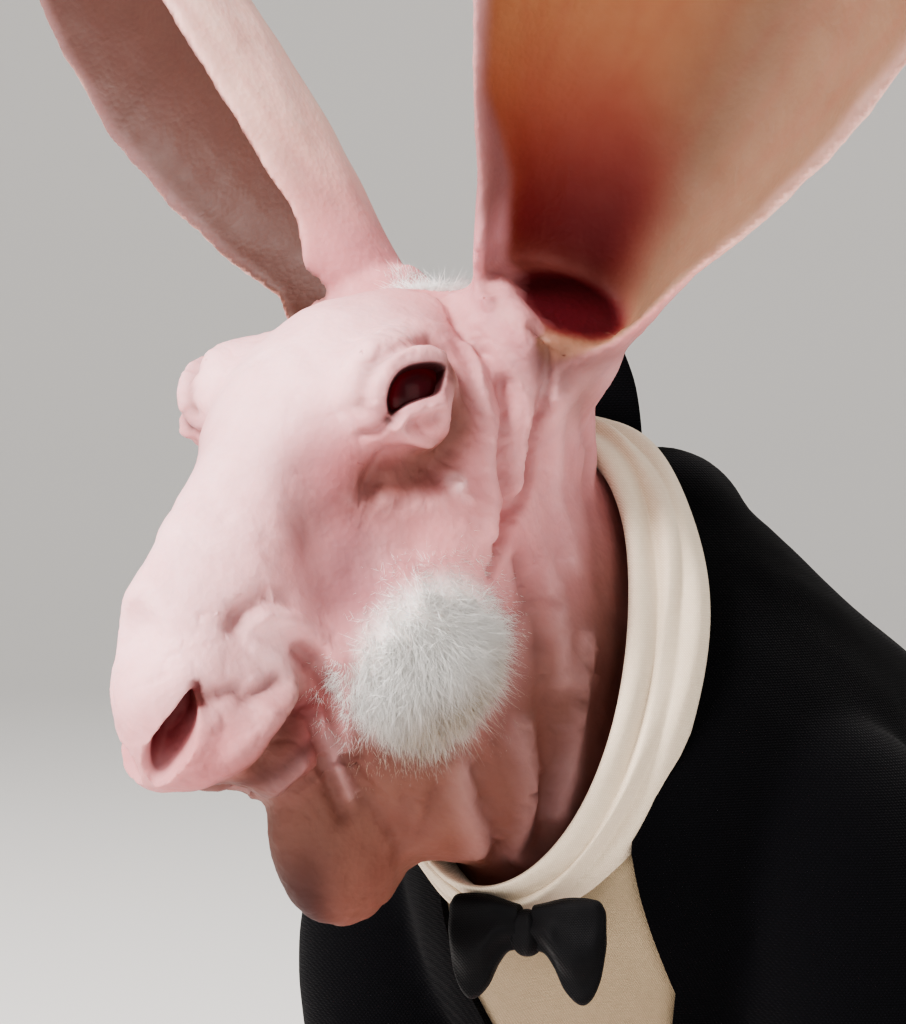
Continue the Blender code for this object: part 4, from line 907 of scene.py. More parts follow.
def sculpt(obj, strokes, origin, axes, weights):
    """Raises ridges and sinks creases along lines drawn on both sides of the body."""
    verts = obj.data.vertices
    places = np.array([vert.co for vert in verts])
    normals = np.array([vert.normal for vert in verts])
    local = (places - np.array(origin)) @ np.array(axes) / MM * weights
    move = np.zeros(len(places))
    for rise, width, line in strokes:
        for mirror in SIDES.values():
            drawn = np.array(line, float) * (1, mirror, 1) * weights
            move += rise * np.exp(-((line_distance(local, drawn) / width) ** 2))
    places += normals * (move * MM)[:, None]
    for vert, place in zip(verts, places):
        vert.co = place
    return obj


def ear_axes(mirror):
    """The direction that an ear grows in, its opening's direction square to that, and its width's."""
    along = FORWARD * EAR_LEAN + HEAD_SIDE * (mirror * EAR_SPREAD) + Vector((0, 0, 1))
    along.normalize()
    opens = FORWARD * EAR_OPENS[1] + HEAD_SIDE * (mirror * EAR_OPENS[0])
    opens = (opens - along * opens.dot(along)).normalized()
    return along, opens, opens.cross(along)


def ear_root(mirror):
    f, side, up = EAR_ROOT
    return in_head((f, mirror * side, up))


def ear_point(mirror, share, across):
    """A point on the back of the ear's leaf: share of its length, and across from -1 to 1."""
    along, opens, wide = ear_axes(mirror)
    rows = np.array(EAR_ROWS)
    width = np.interp(share, rows[:, 0], rows[:, 1]) * MM
    roll = np.interp(share, rows[:, 0], rows[:, 2])
    radius = width / roll
    angle = across * roll / 2
    back = EAR_ROOT_RADIUS + EAR_BELLY * math.sin(math.pi * min(1, max(0, share / EAR_BELLY_END)))
    spine = ear_root(mirror) + along * (share * EAR_LENGTH) - opens * back
    spine += HEAD_SIDE * (mirror * EAR_BEND * EAR_LENGTH * share**2 / 2)
    return spine + wide * (math.sin(angle) * radius) + opens * (radius * (1 - math.cos(angle)))


def slice_off(obj, point, normal):
    """Cuts away what lies past a plane, on the side of its normal, and closes the cut."""
    bm = bmesh.new()
    bm.from_mesh(obj.data)
    geometry = bm.verts[:] + bm.edges[:] + bm.faces[:]
    cut = bmesh.ops.bisect_plane(bm, geom=geometry, plane_co=point, plane_no=normal, clear_outer=True)
    edges = [item for item in cut["geom_cut"] if isinstance(item, bmesh.types.BMEdge)]
    bmesh.ops.holes_fill(bm, edges=edges)
    bmesh.ops.triangulate(bm, faces=bm.faces)
    bm.to_mesh(obj.data)
    bm.free()
    return obj


def grown(obj, name, distance):
    """A copy of a body whose skin is moved outward."""
    made = copy_of(obj, name)
    displace = made.modifiers.new("grow", "DISPLACE")
    displace.mid_level = 0
    displace.strength = distance
    return apply_modifiers(made)


def prism(name, outline, depth, grow=0.0):
    """An outline in x and z, in mm, drawn out along -Y from the middle of the chest."""
    middle = Vector((sum(x for x, z in outline), sum(z for x, z in outline))) / len(outline)
    rings = []
    for y in (FRONT_FROM, FRONT_FROM - depth):
        points = []
        for point in outline:
            out = Vector(point) + (Vector(point) - middle).normalized() * grow
            points.append(Vector((out.x, y, out.y)) * MM)
        rings.append(points)
    return loft(name, rings)


def skin_point(obj, start, direction):
    hit, point, _, _ = obj.ray_cast(start, direction)
    return point if hit else None


def tube(name, points, radius):
    """A round tube through points, with closed ends."""
    rings = []
    for i, point in enumerate(points):
        ahead = points[min(i + 1, len(points) - 1)] - points[max(i - 1, 0)]
        tangent = ahead.normalized()
        side = tangent.orthogonal().normalized() if i == 0 else side - tangent * side.dot(tangent)
        side.normalize()
        rings.append(ring(point, side, side.cross(tangent), radius, radius, radius, points=10))
    return loft(name, rings)


def mouth_line(head):
    """Points along the mouth, on the skin from one corner to the other, sagging toward the corners."""
    points = []
    for step in range(-10, 11):
        angle = math.radians(MOUTH_SPREAD * step / 10)
        sag = MOUTH_SAG * (step / 10) ** 2
        start = in_head((MOUTH_FROM[0], MOUTH_FROM[1], MOUTH_FROM[2] - sag))
        direction = FACE * math.cos(angle) + HEAD_SIDE * math.sin(angle)
        point = skin_point(head, start, direction)
        if point is not None:
            points.append(point)
    return points


def tone(colour):
    """A painter's colour as linear light."""
    share = np.array(colour, float) / 255
    return np.where(share <= 0.04045, share / 12.92, ((share + 0.055) / 1.055) ** 2.4)


def places_of(obj):
    """The mesh's points as an array."""
    places = np.empty(len(obj.data.vertices) * 3)
    obj.data.vertices.foreach_get("co", places)
    return places.reshape(-1, 3)


def normals_of(obj):
    normals = np.empty(len(obj.data.vertices) * 3)
    obj.data.vertex_normals.foreach_get("vector", normals)
    return normals.reshape(-1, 3)


def move_points(obj, places):
    obj.data.vertices.foreach_set("co", places.ravel())
    obj.data.update()


def smooth_step(low, high, value):
    share = np.clip((value - low) / (high - low), 0, 1)
    return share * share * (3 - 2 * share)


def waves(places, size, seed):
    """A soft uneven field from -1 to 1 over points in metres, with bumps of about the given size in mm."""
    draw = np.random.default_rng(seed)
    total = np.zeros(len(places))
    for _ in range(7):
        direction = draw.normal(size=3)
        direction *= 2 * math.pi / (size * MM * np.linalg.norm(direction)) * draw.uniform(0.6, 1.4)
        total += np.sin(places @ direction + draw.uniform(0, 2 * math.pi))
    return total / 4


def cut(obj, cutter, operation="DIFFERENCE"):
    """Takes one closed body out of another, or keeps only what both fill."""
    step = obj.modifiers.new("cut", "BOOLEAN")
    step.operation = operation
    step.solver = "MANIFOLD"
    step.object = cutter
    apply_modifiers(obj)
    bpy.data.objects.remove(cutter)
    return obj


def block(point, normal, size):
    """A cube that fills the space past a plane."""
    bm = bmesh.new()
    bmesh.ops.create_cube(bm, size=size)
    turn = Vector(normal).to_track_quat("Z", "Y").to_matrix().to_4x4()
    place = Matrix.Translation(point + Vector(normal) * (size / 2)) @ turn
    bmesh.ops.transform(bm, matrix=place, verts=bm.verts)
    return add_object("block", bm)


def smooth_look(obj, angle=180):
    """Smooth shading, with an edge kept where faces meet at more than the given angle."""
    obj.data.shade_smooth()
    if angle < 180:
        obj.data.set_sharp_from_angle(angle=math.radians(angle))
    return obj


def fine_ear(mirror):
    """The ear's leaf on a finer grid, from its tip down into the head."""
    bm = bmesh.new()
    rows = []
    for i in range(FINE_EAR_STEPS + 1):
        share = i / FINE_EAR_STEPS * (1 - EAR_FOOT) + EAR_FOOT
        points = []
        for j in range(FINE_EAR_COLUMNS + 1):
            points.append(ear_point(mirror, share, 2 * j / FINE_EAR_COLUMNS - 1))
        rows.append([bm.verts.new(point) for point in points])
    for low, high in zip(rows, rows[1:]):
        for j in range(FINE_EAR_COLUMNS):
            bm.faces.new((low[j], high[j], high[j + 1], low[j + 1]))
    if mirror < 0:
        bmesh.ops.reverse_faces(bm, faces=bm.faces)
    leaf = add_object("ear", bm)
    thicken = leaf.modifiers.new("thickness", "SOLIDIFY")
    thicken.thickness = EAR_THICKNESS
    return apply_modifiers(leaf)


def ear_canal(mirror):
    along, opens, wide = ear_axes(mirror)
    reach, radius, depth = EAR_CANAL
    axes = Matrix((opens, wide, along)).transposed()
    place = ear_root(mirror) + along * (reach * MM) - wide * (mirror * CANAL_ASIDE * MM)
    return ellipsoid("canal", place, Vector((radius, radius, depth)) * MM, axes)


def creases(places, size, seed):
    """Thin lines that wander over points, as a mask from 0 to 1, about the given distance apart in mm."""
    return np.clip(1 - np.abs(waves(places, size, seed)) * 3.2, 0, 1) ** 1.5


def wrinkle(skin):
    """Fine relief over the skin: small creases that run round the neck and across the face."""
    places = places_of(skin)
    normals = normals_of(skin)
    along = (places - np.array(OPENING_AT)) @ np.array(OPENING_NORMAL) / MM
    height = places[:, 2] / MM
    step, depth, reach = NECK_FOLDS
    fold = np.sin((along + waves(places, 34, 3) * NECK_FOLD_WANDER) * 2 * math.pi / step)
    neck = smooth_step(reach, reach - 12, along) * smooth_step(178, 168, height)
    move = fold * neck * (0.55 + 0.45 * waves(places, 22, 4)) * depth
    stretched = places @ np.array(HEAD_AXES) * CREASE_STRETCH
    on_head = smooth_step(185, 172, height)
    large, small = (creases(stretched, *kind) for kind in CREASE_KINDS)
    move += -LARGE_CREASE * large * on_head - SMALL_CREASE * small * on_head
    move += SMALL_BUMP * waves(places, 5.5, 10) + LARGE_BUMP * waves(places, 13, 11)
    move_points(skin, places + normals * (move * MM)[:, None])


def rim_line(rim):
    """A drawn rim as a closed line of close points, in mm in the head's axes."""
    return np.array(smooth_rows(rim + rim[:1], 4)[:-1], float)


def funnel(rim, toward, shares, mirror):
    """A cutter through a rim drawn on the skin, narrowing toward a point under it."""
    toward = np.array(toward, float)
    line = rim_line(rim)
    rings = []
    for share in shares:
        points = (toward + (line - toward) * share) * (1, mirror, 1)
        rings.append([in_head(tuple(point)) for point in points])
    return loft("funnel", rings)


def sunken(local, rim, toward, edge=1.0):
    """A mask of the walls and floor of an opening cut toward a point, up to a share of the way to its rim."""
    toward = np.array(toward, float)
    line = rim_line(rim) - toward
    reach = np.linalg.norm(line, axis=1)
    out = local - toward
    far = np.linalg.norm(out, axis=1)
    turn = (out / far[:, None]) @ (line / reach[:, None]).T
    share = far / reach[turn.argmax(axis=1)]
    wall = smooth_step(0.975, 0.99, turn.max(axis=1)) * smooth_step(edge + 0.03, edge - 0.08, share)
    floor = (share < edge - 0.25) & (turn.max(axis=1) > 0.75)
    return np.maximum(wall, floor)


def soften(skin, chosen, rounds):
    """Smooths the chosen points of a skin."""
    bm = bmesh.new()
    bm.from_mesh(skin.data)
    verts = [vert for vert in bm.verts if chosen[vert.index]]
    for _ in range(rounds):
        bmesh.ops.smooth_vert(bm, verts=verts, factor=0.5, use_axis_x=True, use_axis_y=True, use_axis_z=True)
    bm.to_mesh(skin.data)
    bm.free()


def round_rim(skin, rim, reach, rounds):
    """Rounds the edge of an opening, on both sides of the head."""
    local = head_places(places_of(skin))
    line = rim_line(rim)
    soften(skin, line_distance(local, np.vstack([line, line[:1]])) < reach, rounds)


def soften_ears(skin, rounds):
    """Evens out the leaves of the ears and rounds their margins."""
    places = places_of(skin)
    chosen = np.zeros(len(places), bool)
    for mirror in SIDES.values():
        share, _, _, on_ear = ear_places(places, mirror)
        chosen |= (on_ear > 0.5) & (share > 0.06)
    soften(skin, chosen, rounds)


def thin_out(obj, share):
    """Keeps only a share of the triangles, most of them where the surface bends."""
    step = obj.modifiers.new("fewer", "DECIMATE")
    step.ratio = share
    step.use_collapse_triangulate = True
    return apply_modifiers(obj)


def refine(skin):
    """Divides the faces of the lids, of the folds and of the muzzle once more."""
    local = head_places(places_of(skin))
    chosen = np.zeros(len(local), bool)
    for centre, radius in FINE_PLACES:
        chosen |= np.linalg.norm(local - np.array(centre), axis=1) < radius
    bm = bmesh.new()
    bm.from_mesh(skin.data)
    edges = [edge for edge in bm.edges if chosen[edge.verts[0].index] and chosen[edge.verts[1].index]]
    bmesh.ops.subdivide_edges(bm, edges=edges, cuts=1, smooth=1.0, use_grid_fill=True)
    bmesh.ops.triangulate(bm, faces=bm.faces)
    bm.to_mesh(skin.data)
    bm.free()


def front_skin(animal, drawn):
    """The head, the neck and the ears as one fine skin, with lids, nostrils and mouth."""
    front = copy_of(animal, "skin_front")
    slice_off(front, SKIN_PARTS_AT, SKIN_PARTS_NORMAL)
    front = join("skin_front", [front] + [fine_ear(mirror) for mirror in SIDES.values()])
    fuse(front, FRONT_GRID, 3)
    sculpt(front, FORM_STROKES, EYES_AT, HEAD_AXES, FACE_WEIGHTS)
    line = mouth_line(front)
    for mirror in SIDES.values():
        cut(front, ear_canal(mirror))
        (f, side, up), radii = EAR_NOTCH
        cut(front, ellipsoid("notch", in_head((f, mirror * side, up)), Vector(radii) * MM, HEAD_AXES))
    cut(front, tube("mouth", line, MOUTH_DEPTH))
    fuse(front, FRONT_GRID, 1)
    soften_ears(front, EAR_ROUNDS)
    thin_out(front, FRONT_SHARE)
    refine(front)
    sculpt(front, drawn["folds"], EYES_AT, HEAD_AXES, FACE_WEIGHTS)
    wrinkle(front)
    for mirror in SIDES.values():
        cut(front, funnel(drawn["lid rim"], EYE_CENTRE, LID_CUT, mirror))
        cut(front, funnel(NOSTRIL_RIM, NOSTRIL_TOWARD, NOSTRIL_CUT, mirror))
    round_rim(front, drawn["lid rim"], *LID_ROUNDING)
    round_rim(front, NOSTRIL_RIM, *NOSTRIL_ROUNDING)
    return front


def rear_skin(animal):
    """The body, limbs and tail behind the neck's cut, with toes."""
    rear = copy_of(animal, "skin_rear")
    slice_off(rear, SKIN_PARTS_AT, -SKIN_PARTS_NORMAL)
    fuse(rear, REAR_GRID, 2)
    sculpt(rear, TOE_STROKES, Vector(), BODY_AXES, TOE_WEIGHTS)
    places = places_of(rear)
    wrinkle = waves(places * (1, 1, 2.2), 13, 8) * 0.16 + waves(places, 30, 9) * 0.25
    feet = smooth_step(8, 16, places[:, 2] / MM)
    places += normals_of(rear) * (wrinkle * feet * MM)[:, None]
    places[:, 2] = np.maximum(places[:, 2], SOLE_LEVEL)
    move_points(rear, places)
    return rear


class Paint:
    """Colours laid over a mesh's points one after another, each by a mask from 0 to 1."""

    def __init__(self, obj, base):
        self.obj = obj
        self.colour = np.tile(tone(base), (len(obj.data.vertices), 1))

    def lay(self, colour, mask):
        share = np.clip(mask, 0, 1)[:, None]
        self.colour = self.colour * (1 - share) + tone(colour) * share

    def finish(self, name="tint"):
        attribute = self.obj.data.color_attributes.new(name, "FLOAT_COLOR", "POINT")
        rgba = np.ones((len(self.colour), 4))
        rgba[:, :3] = self.colour
        attribute.data.foreach_set("color", rgba.ravel())


def head_places(places):
    """Points in the head's own axes, in mm, with the two sides folded together."""
    local = (places - np.array(EYES_AT)) @ np.array(HEAD_AXES) / MM
    local[:, 1] = np.abs(local[:, 1])
    return local


def near(local, line, width, weights=(1, 1, 1)):
    """A soft mask round a line in the head's axes."""
    drawn = np.array(line, float).reshape(-1, 3) * weights
    return np.exp(-((line_distance(local * weights, drawn) / width) ** 2))


def ear_places(places, mirror):
    """Where points lie on an ear: share of its length, across toward the crown, inside, and on it."""
    along, opens, wide = ear_axes(mirror)
    root = ear_root(mirror)
    share = (places - np.array(root)) @ np.array(along) / EAR_LENGTH
    rows = np.array(EAR_ROWS)
    width = np.interp(share, rows[:, 0], rows[:, 1]) * MM
    roll = np.interp(share, rows[:, 0], rows[:, 2])
    radius = width / roll
    bend = np.array(HEAD_SIDE) * (mirror * EAR_BEND * EAR_LENGTH / 2)
    back = EAR_ROOT_RADIUS + EAR_BELLY * np.sin(np.pi * np.clip(share / EAR_BELLY_END, 0, 1))
    spine = np.array(root) + share[:, None] * np.array(along) * EAR_LENGTH
    spine += (np.clip(share, 0, 1) ** 2)[:, None] * bend - back[:, None] * np.array(opens)
    middle = spine + radius[:, None] * np.array(opens)
    out = places - middle
    x = out @ np.array(wide)
    y = -(out @ np.array(opens))
    across = np.arctan2(x, y) / (roll / 2) * mirror
    far = np.hypot(x, y)
    leaf = radius + mirror * EAR_THICKNESS / 2
    inside = smooth_step(leaf + 0.15 * EAR_THICKNESS, leaf - 0.3 * EAR_THICKNESS, far)
    on_ear = (np.abs(far - leaf) < 5 * MM) & (np.abs(across) < 1.5)
    return share, across, inside, on_ear * smooth_step(-0.02, 0.08, share)


def ear_veins(share, across, seed):
    """Branching veins that run up an ear from its base, as a mask."""
    draw = np.random.default_rng(seed)
    mask = np.zeros(len(share))
    for start in np.linspace(-0.75, 0.75, 6):
        slope, bow, phase = draw.uniform(-0.35, 0.35), draw.uniform(0.03, 0.07), draw.uniform(0, 6)
        for branch in (0, 1, -1):
            fork = draw.uniform(0.15, 0.45)
            line = start + slope * share + bow * np.sin(9 * share + phase)
            line = line + branch * np.clip(share - fork, 0, 1) * 0.8
            start_at = fork - 0.02 if branch else -0.1
            reach = smooth_step(start_at, fork + 0.05, share) * smooth_step(0.98, 0.6, share)
            mask = np.maximum(mask, np.exp(-(((across - line) / 0.028) ** 2)) * reach)
    return mask


def in_canal(places, mirror, outer, inner):
    """Whether points lie on or close round the wall of the hollow at the bottom of an ear."""
    along, _, wide = ear_axes(mirror)
    reach, radius, depth = EAR_CANAL
    out = (places - np.array(ear_root(mirror) - wide * (mirror * CANAL_ASIDE * MM))) / MM
    up = out @ np.array(along)
    aside = np.linalg.norm(out - up[:, None] * np.array(along), axis=1)
    return smooth_step(outer, inner, (aside / radius) ** 2 + ((up - reach) / depth) ** 2)


def paint_ears(paint, places, normals):
    for mirror in SIDES.values():
        share, across, inside, on_ear = ear_places(places, mirror)
        outside = on_ear * (1 - inside)
        inner = on_ear * inside
        veins = ear_veins(share, across, 40 + mirror)
        blotch = 0.8 + 0.2 * waves(places, 26, 12)
        paint.lay(EAR_BACK, outside * smooth_step(0.05, 0.25, share))
        paint.lay(ROSE, outside * 0.15 * smooth_step(0.4, 0.05, share))
        paint.lay(ROSE, outside * veins * 0.2)
        paint.lay(EAR_WARM, inner)
        paint.lay(EAR_TAN, inner * smooth_step(0.15, -0.4, across))
        paint.lay(EAR_TAN, inner * smooth_step(0.35, 0.8, share) * 0.5)
        paint.lay(EAR_RED, inner * veins * 0.1)
        left = 0.3 + 2.2 * share
        right = 2 * np.clip(share - 0.15, 0, 1) - 0.2
        # The cup's red core: partly the ear's own red, partly painted shade, darkest at the bottom
        for colour, soft, top, foot in EAR_CORES:
            core = smooth_step(right - soft, right + 0.1, across)
            core *= smooth_step(left + soft, left - 0.1, across)
            paint.lay(colour, inner * core * smooth_step(top, foot, share) * blotch)
        paint.lay(EAR_SHADE, inner * EAR_SHADES[mirror])
        start = np.clip(left, 0.3, 0.86)
        rim = on_ear * smooth_step(start, start + 0.14, across) * smooth_step(0.95, 0.6, share)
        rim = rim * EAR_RIMS[mirror]
        paint.lay(EAR_RIM, rim)
        paint.lay(EAR_RIM_LOW, rim * smooth_step(0.14, 0.06, share))
        paint.lay(PALE, on_ear * smooth_step(0.9, 1.0, np.abs(across)) * 0.15 * smooth_step(0.1, 0.4, share))
        # Painted shade at the bottom of the cup and in the hollow below it
        bowl = in_canal(places, mirror, 2.1, 1.4) * (normals @ np.array(ear_axes(mirror)[1]) > -0.2)
        paint.lay(EAR_DEEP, bowl * 0.9)
        paint.lay(CANAL_SHADE, in_canal(places, mirror, 1.5, 1.15))


def lay_patches(paint, local, patches):
    """Lays soft patches round lines of the head, in their order."""
    for colour, width, share, line in patches:
        paint.lay(colour, near(local, line, width, PATCH_WEIGHTS) * share)


def paint_head(paint, local, drawn):
    lay_patches(paint, local, MUZZLE_PATCHES)
    # Painted shade round the nostril's edge and inside the nostril
    lay_patches(paint, local, ((DUSKY_SHADE, 0.9, 0.45, rim_line(NOSTRIL_RIM)[:NOSTRIL_DARK_POINTS]),))
    paint.lay(NOSTRIL_SHADE, sunken(local, NOSTRIL_RIM, NOSTRIL_TOWARD, NOSTRIL_EDGE))
    lay_patches(paint, local, EYE_PATCHES)
    round_lids = (MAUVE, 1.6, 0.5, rim_line(drawn["lid rim"]))
    # Painted shade behind the eye
    behind_eye = (BROWN_SHADE, 2.2, 0.75, drawn["brown"])
    lay_patches(paint, local, (round_lids, behind_eye))
    # Painted shade on the walls of the lids' opening
    paint.lay(DARK_RED_SHADE, sunken(local, drawn["lid rim"], EYE_CENTRE))
    lay_patches(paint, local, EAR_PATCHES)
    for rise, width, line in drawn["folds"]:
        if rise < 0:
            shade = min(CREASE_SHADE_MOST, -CREASE_SHADE * rise)
            paint.lay(DUSKY_SHADE, near(local, line, width * CREASE_SHADE_WIDTH, FACE_WEIGHTS) * shade)
        else:
            paint.lay(PALE, near(local, line, width, FACE_WEIGHTS) * RIDGE_LIGHT)


def paint_neck(paint, local, places):
    along = (places - np.array(OPENING_AT)) @ np.array(OPENING_NORMAL) / MM
    height = places[:, 2] / MM
    neck = smooth_step(32, 16, along) * smooth_step(182, 170, height)
    paint.lay(MAUVE, neck * 0.3)
    # Painted shade: darker low on the neck toward the collar, under the jaw, and along the collar's edge
    low = smooth_step(154, 122, height)
    paint.lay(DUSKY_SHADE, neck * low)
    paint.lay(DUSKY_SHADE, smooth_step(-4, -16, local[:, 2] + 34) * smooth_step(20, 30, local[:, 0]) * 0.7)
    paint.lay(BROWN_SHADE, smooth_step(20, 8, along) * smooth_step(164, 140, height) * 0.7)
    paint.lay(DARK_RED_SHADE, neck * smooth_step(142, 118, height) * 0.6)
    paint.lay(BROWN_SHADE, near(local, ((6, 19, -38), (12, 19.5, -46), (17, 18.5, -54)), 7) * 0.5)
    paint.lay(DARK_RED_SHADE, smooth_step(15, 6, along) * smooth_step(146, 124, height) * 0.5)
    centre = np.array(DEWLAP[0]) * MM
    hang = np.exp(-((np.linalg.norm((places - centre) * (1, 0.8, 0.7), axis=1) / (17 * MM)) ** 2))
    hang = np.clip(hang * 2.4, 0, 1) * smooth_step(140, 124, height)
    # The dewlap's red-brown, partly painted shade, then painted shade on its side away from the light
    paint.lay(DEWLAP_TONE, hang)
    paint.lay(DEWLAP_SHADE, hang * smooth_step(8.0, 2.0, local @ DEWLAP_LIT_SIDE))


def down_the_fur(along, up):
    """How far down the cheek's fur a place lies, in mm, from its offsets along the face and to the crown."""
    return FUR_DOWN[0] * along + FUR_DOWN[1] * up + FUR_LEVEL


def paint_front(skin, drawn):
    places = places_of(skin)
    local = head_places(places)
    paint = Paint(skin, PINK)
    paint.lay(PALE, np.clip(waves(places, 24, 20), 0, 1) * 0.35)
    paint.lay(ROSE, np.clip(waves(places, 15, 21), 0, 1) * 0.3)
    paint.lay(MAUVE, creases(places, 9, 24) * 0.16)
    paint_neck(paint, local, places)
    paint_head(paint, local, drawn)
    paint.lay(EAR_SHADE, near(local, BESIDE_EAR, 4.2) * 0.8)
    paint_ears(paint, places, normals_of(skin))
    f, up = CHEEK_CENTRE
    oval = ((local[:, 0] - f) / CHEEK_RADII[0]) ** 2 + ((local[:, 2] - up) / CHEEK_RADII[1]) ** 2
    under = smooth_step(1.25, 0.5, oval) * (local[:, 1] > 5)
    paint.lay(WHITE_FUR, under * 0.9)
    # Painted shade on the skin under the fur's lower side
    low = down_the_fur(local[:, 0] - f, local[:, 2] - up)
    paint.lay(FUR_SHADE_BROWN, under * smooth_step(6, 13, low) * 0.8)
    paint.finish()


def paint_rear(skin):
    places = places_of(skin)
    paint = Paint(skin, PINK)
    paint.lay(PALE, waves(places, 30, 22) * 0.35)
    paint.lay(ROSE, waves(places, 21, 23) * 0.3)
    paint.lay(ROSE, smooth_step(22, 4, places[:, 2] / MM) * 0.5)
    # Painted shade at the bottom of the feet, by the floor
    paint.lay(DUSKY_SHADE, smooth_step(3.5, 0.5, places[:, 2] / MM) * 0.5)
    paint.finish()


class Tree:
    """The nodes of a material or of a group, made with their inputs' values and joined by their sockets."""

    def __init__(self, tree):
        self.tree = tree

    def add(self, kind, inputs=None, **settings):
        node = self.tree.nodes.new(kind)
        for name, value in settings.items():
            setattr(node, name, value)
        for socket, value in (inputs or {}).items():
            node.inputs[socket].default_value = value
        return node

    def join(self, *pairs):
        for (giver, out), (taker, into) in pairs:
            self.tree.links.new(giver.outputs[out], taker.inputs[into])

    def ramp(self, dark, light, low=0.0, high=1.0):
        """A ramp between two painter's colours."""
        node = self.add("ShaderNodeValToRGB")
        for stop, colour, place in zip(node.color_ramp.elements, (dark, light), (low, high)):
            stop.position = place
            stop.color = (*tone(colour), 1)
        return node


def new_group(name, inputs, outputs):
    """An empty node group with number sockets, its tree, and its input and output nodes."""
    group = bpy.data.node_groups.new(name, "ShaderNodeTree")
    for in_out, sockets in (("INPUT", inputs), ("OUTPUT", outputs)):
        for socket in sockets:
            group.interface.new_socket(socket, in_out=in_out, socket_type="NodeSocketFloat")
    tree = Tree(group)
    return group, tree, tree.add("NodeGroupInput"), tree.add("NodeGroupOutput")


def fine_grain_group():
    """Pores and fine crossing wrinkles as a height, and soft mottling as a mask."""
    group, tree, given, made = new_group("skin grain", ("Pore size", "Wrinkle size"), ("Height", "Mottle"))
    place = tree.add("ShaderNodeTexCoord")
    pores = tree.add("ShaderNodeTexVoronoi", {"Randomness": 0.9})
    wrinkles = tree.add("ShaderNodeTexNoise", {"Detail": 6, "Distortion": 0.8})
    mottle = tree.add("ShaderNodeTexNoise", {"Scale": 260, "Detail": 4})
    total = tree.add("ShaderNodeMath", {1: 0.35}, operation="MULTIPLY_ADD")
    for texture, socket in ((pores, "Pore size"), (wrinkles, "Wrinkle size")):
        tree.join(((place, "Object"), (texture, "Vector")), ((given, socket), (texture, "Scale")))
    tree.join(
        ((place, "Object"), (mottle, "Vector")),
        ((pores, "Distance"), (total, 0)),
        ((wrinkles, "Fac"), (total, 2)),
        ((total, 0), (made, "Height")),
        ((mottle, "Fac"), (made, "Mottle")),
    )
    return group


def principled(name, **constants):
    """A material with its shader's own values set, its shader and its tree."""
    material = bpy.data.materials.new(name)
    material.use_nodes = True
    shader = material.node_tree.nodes["Principled BSDF"]
    for socket, value in constants.items():
        shader.inputs[socket.replace("_", " ")].default_value = value
    return material, shader, Tree(material.node_tree)


def skin_material(grain):
    material, shader, tree = principled(
        "bare skin",
        Subsurface_Weight=0.2,
        Subsurface_Radius=(1.0, 0.36, 0.22),
        Subsurface_Scale=0.0022,
        Specular_IOR_Level=0.25,
    )
    tint = tree.add("ShaderNodeAttribute", attribute_name="tint")
    detail = tree.add("ShaderNodeGroup", node_tree=grain)
    detail.inputs["Pore size"].default_value = 1100
    detail.inputs["Wrinkle size"].default_value = 260
    mix = tree.add("ShaderNodeMix", data_type="RGBA", blend_type="MULTIPLY")
    mix.inputs["B"].default_value = (0.86, 0.74, 0.74, 1)
    rough = tree.add("ShaderNodeMapRange", {"To Min": 0.5, "To Max": 0.7})
    bump = tree.add("ShaderNodeBump", {"Strength": 0.5, "Distance": 0.0003})
    tree.join(
        ((tint, "Color"), (mix, "A")),
        ((detail, "Mottle"), (mix, "Factor")),
        ((mix, "Result"), (shader, "Base Color")),
        ((detail, "Mottle"), (rough, "Value")),
        ((rough, "Result"), (shader, "Roughness")),
        ((detail, "Height"), (bump, "Height")),
        ((bump, "Normal"), (shader, "Normal")),
    )
    return material


def eye(side, mirror):
    """The eyeball with the clear bulge of its cornea, and rings of colour for the iris and pupil."""
    bm = bmesh.new()
    bmesh.ops.create_uvsphere(bm, u_segments=64, v_segments=48, radius=1)
    f, out, up = EYEBALL_AT
    centre = in_head((f, mirror * out, up))
    look = (HEAD_SIDE * mirror + FACE * EYE_LOOK + CROWN * EYE_LOOK).normalized()
    turn = look.to_track_quat("Z", "Y").to_matrix().to_4x4()
    for vert in bm.verts:
        vert.co *= BALL_SHARE + max(0.0, vert.co.z - CORNEA_FROM) * CORNEA_BULGE
    place = Matrix.Translation(centre) @ turn @ Matrix.Scale(EYEBALL_RADIUS * MM, 4)
    heights = [vert.co.z for vert in bm.verts]
    bmesh.ops.transform(bm, matrix=place, verts=bm.verts)
    ball = add_object(f"eyeball_{side}", bm)
    paint = Paint(ball, EYE_RED)
    height = np.array(heights)
    paint.lay(EYE_RIM, smooth_step(0.45, 0.72, height))
    paint.lay(EYE_IRIS, smooth_step(0.62, 0.8, height) * smooth_step(0.95, 0.88, height))
    paint.lay(EYE_PUPIL, smooth_step(0.84, 0.94, height))
    paint.finish()
    return smooth_look(ball)


def eye_material():
    material, shader, tree = principled(
        "ruby eye", Roughness=0.28, Coat_Weight=0.08, Coat_Roughness=0.06, Specular_IOR_Level=0.12
    )
    tint = tree.add("ShaderNodeAttribute", attribute_name="tint")
    tree.join(((tint, "Color"), (shader, "Base Color")))
    return material


def horn_material():
    material, shader, tree = principled(
        "claw horn", Roughness=0.35, Subsurface_Weight=0.1, Subsurface_Scale=0.001
    )
    place = tree.add("ShaderNodeTexCoord")
    grain = tree.add("ShaderNodeTexNoise", {"Scale": 900})
    ramp = tree.ramp((206, 168, 150), (236, 214, 196))
    tree.join(
        ((place, "Object"), (grain, "Vector")),
        ((grain, "Fac"), (ramp, "Fac")),
        ((ramp, "Color"), (shader, "Base Color")),
    )
    return material


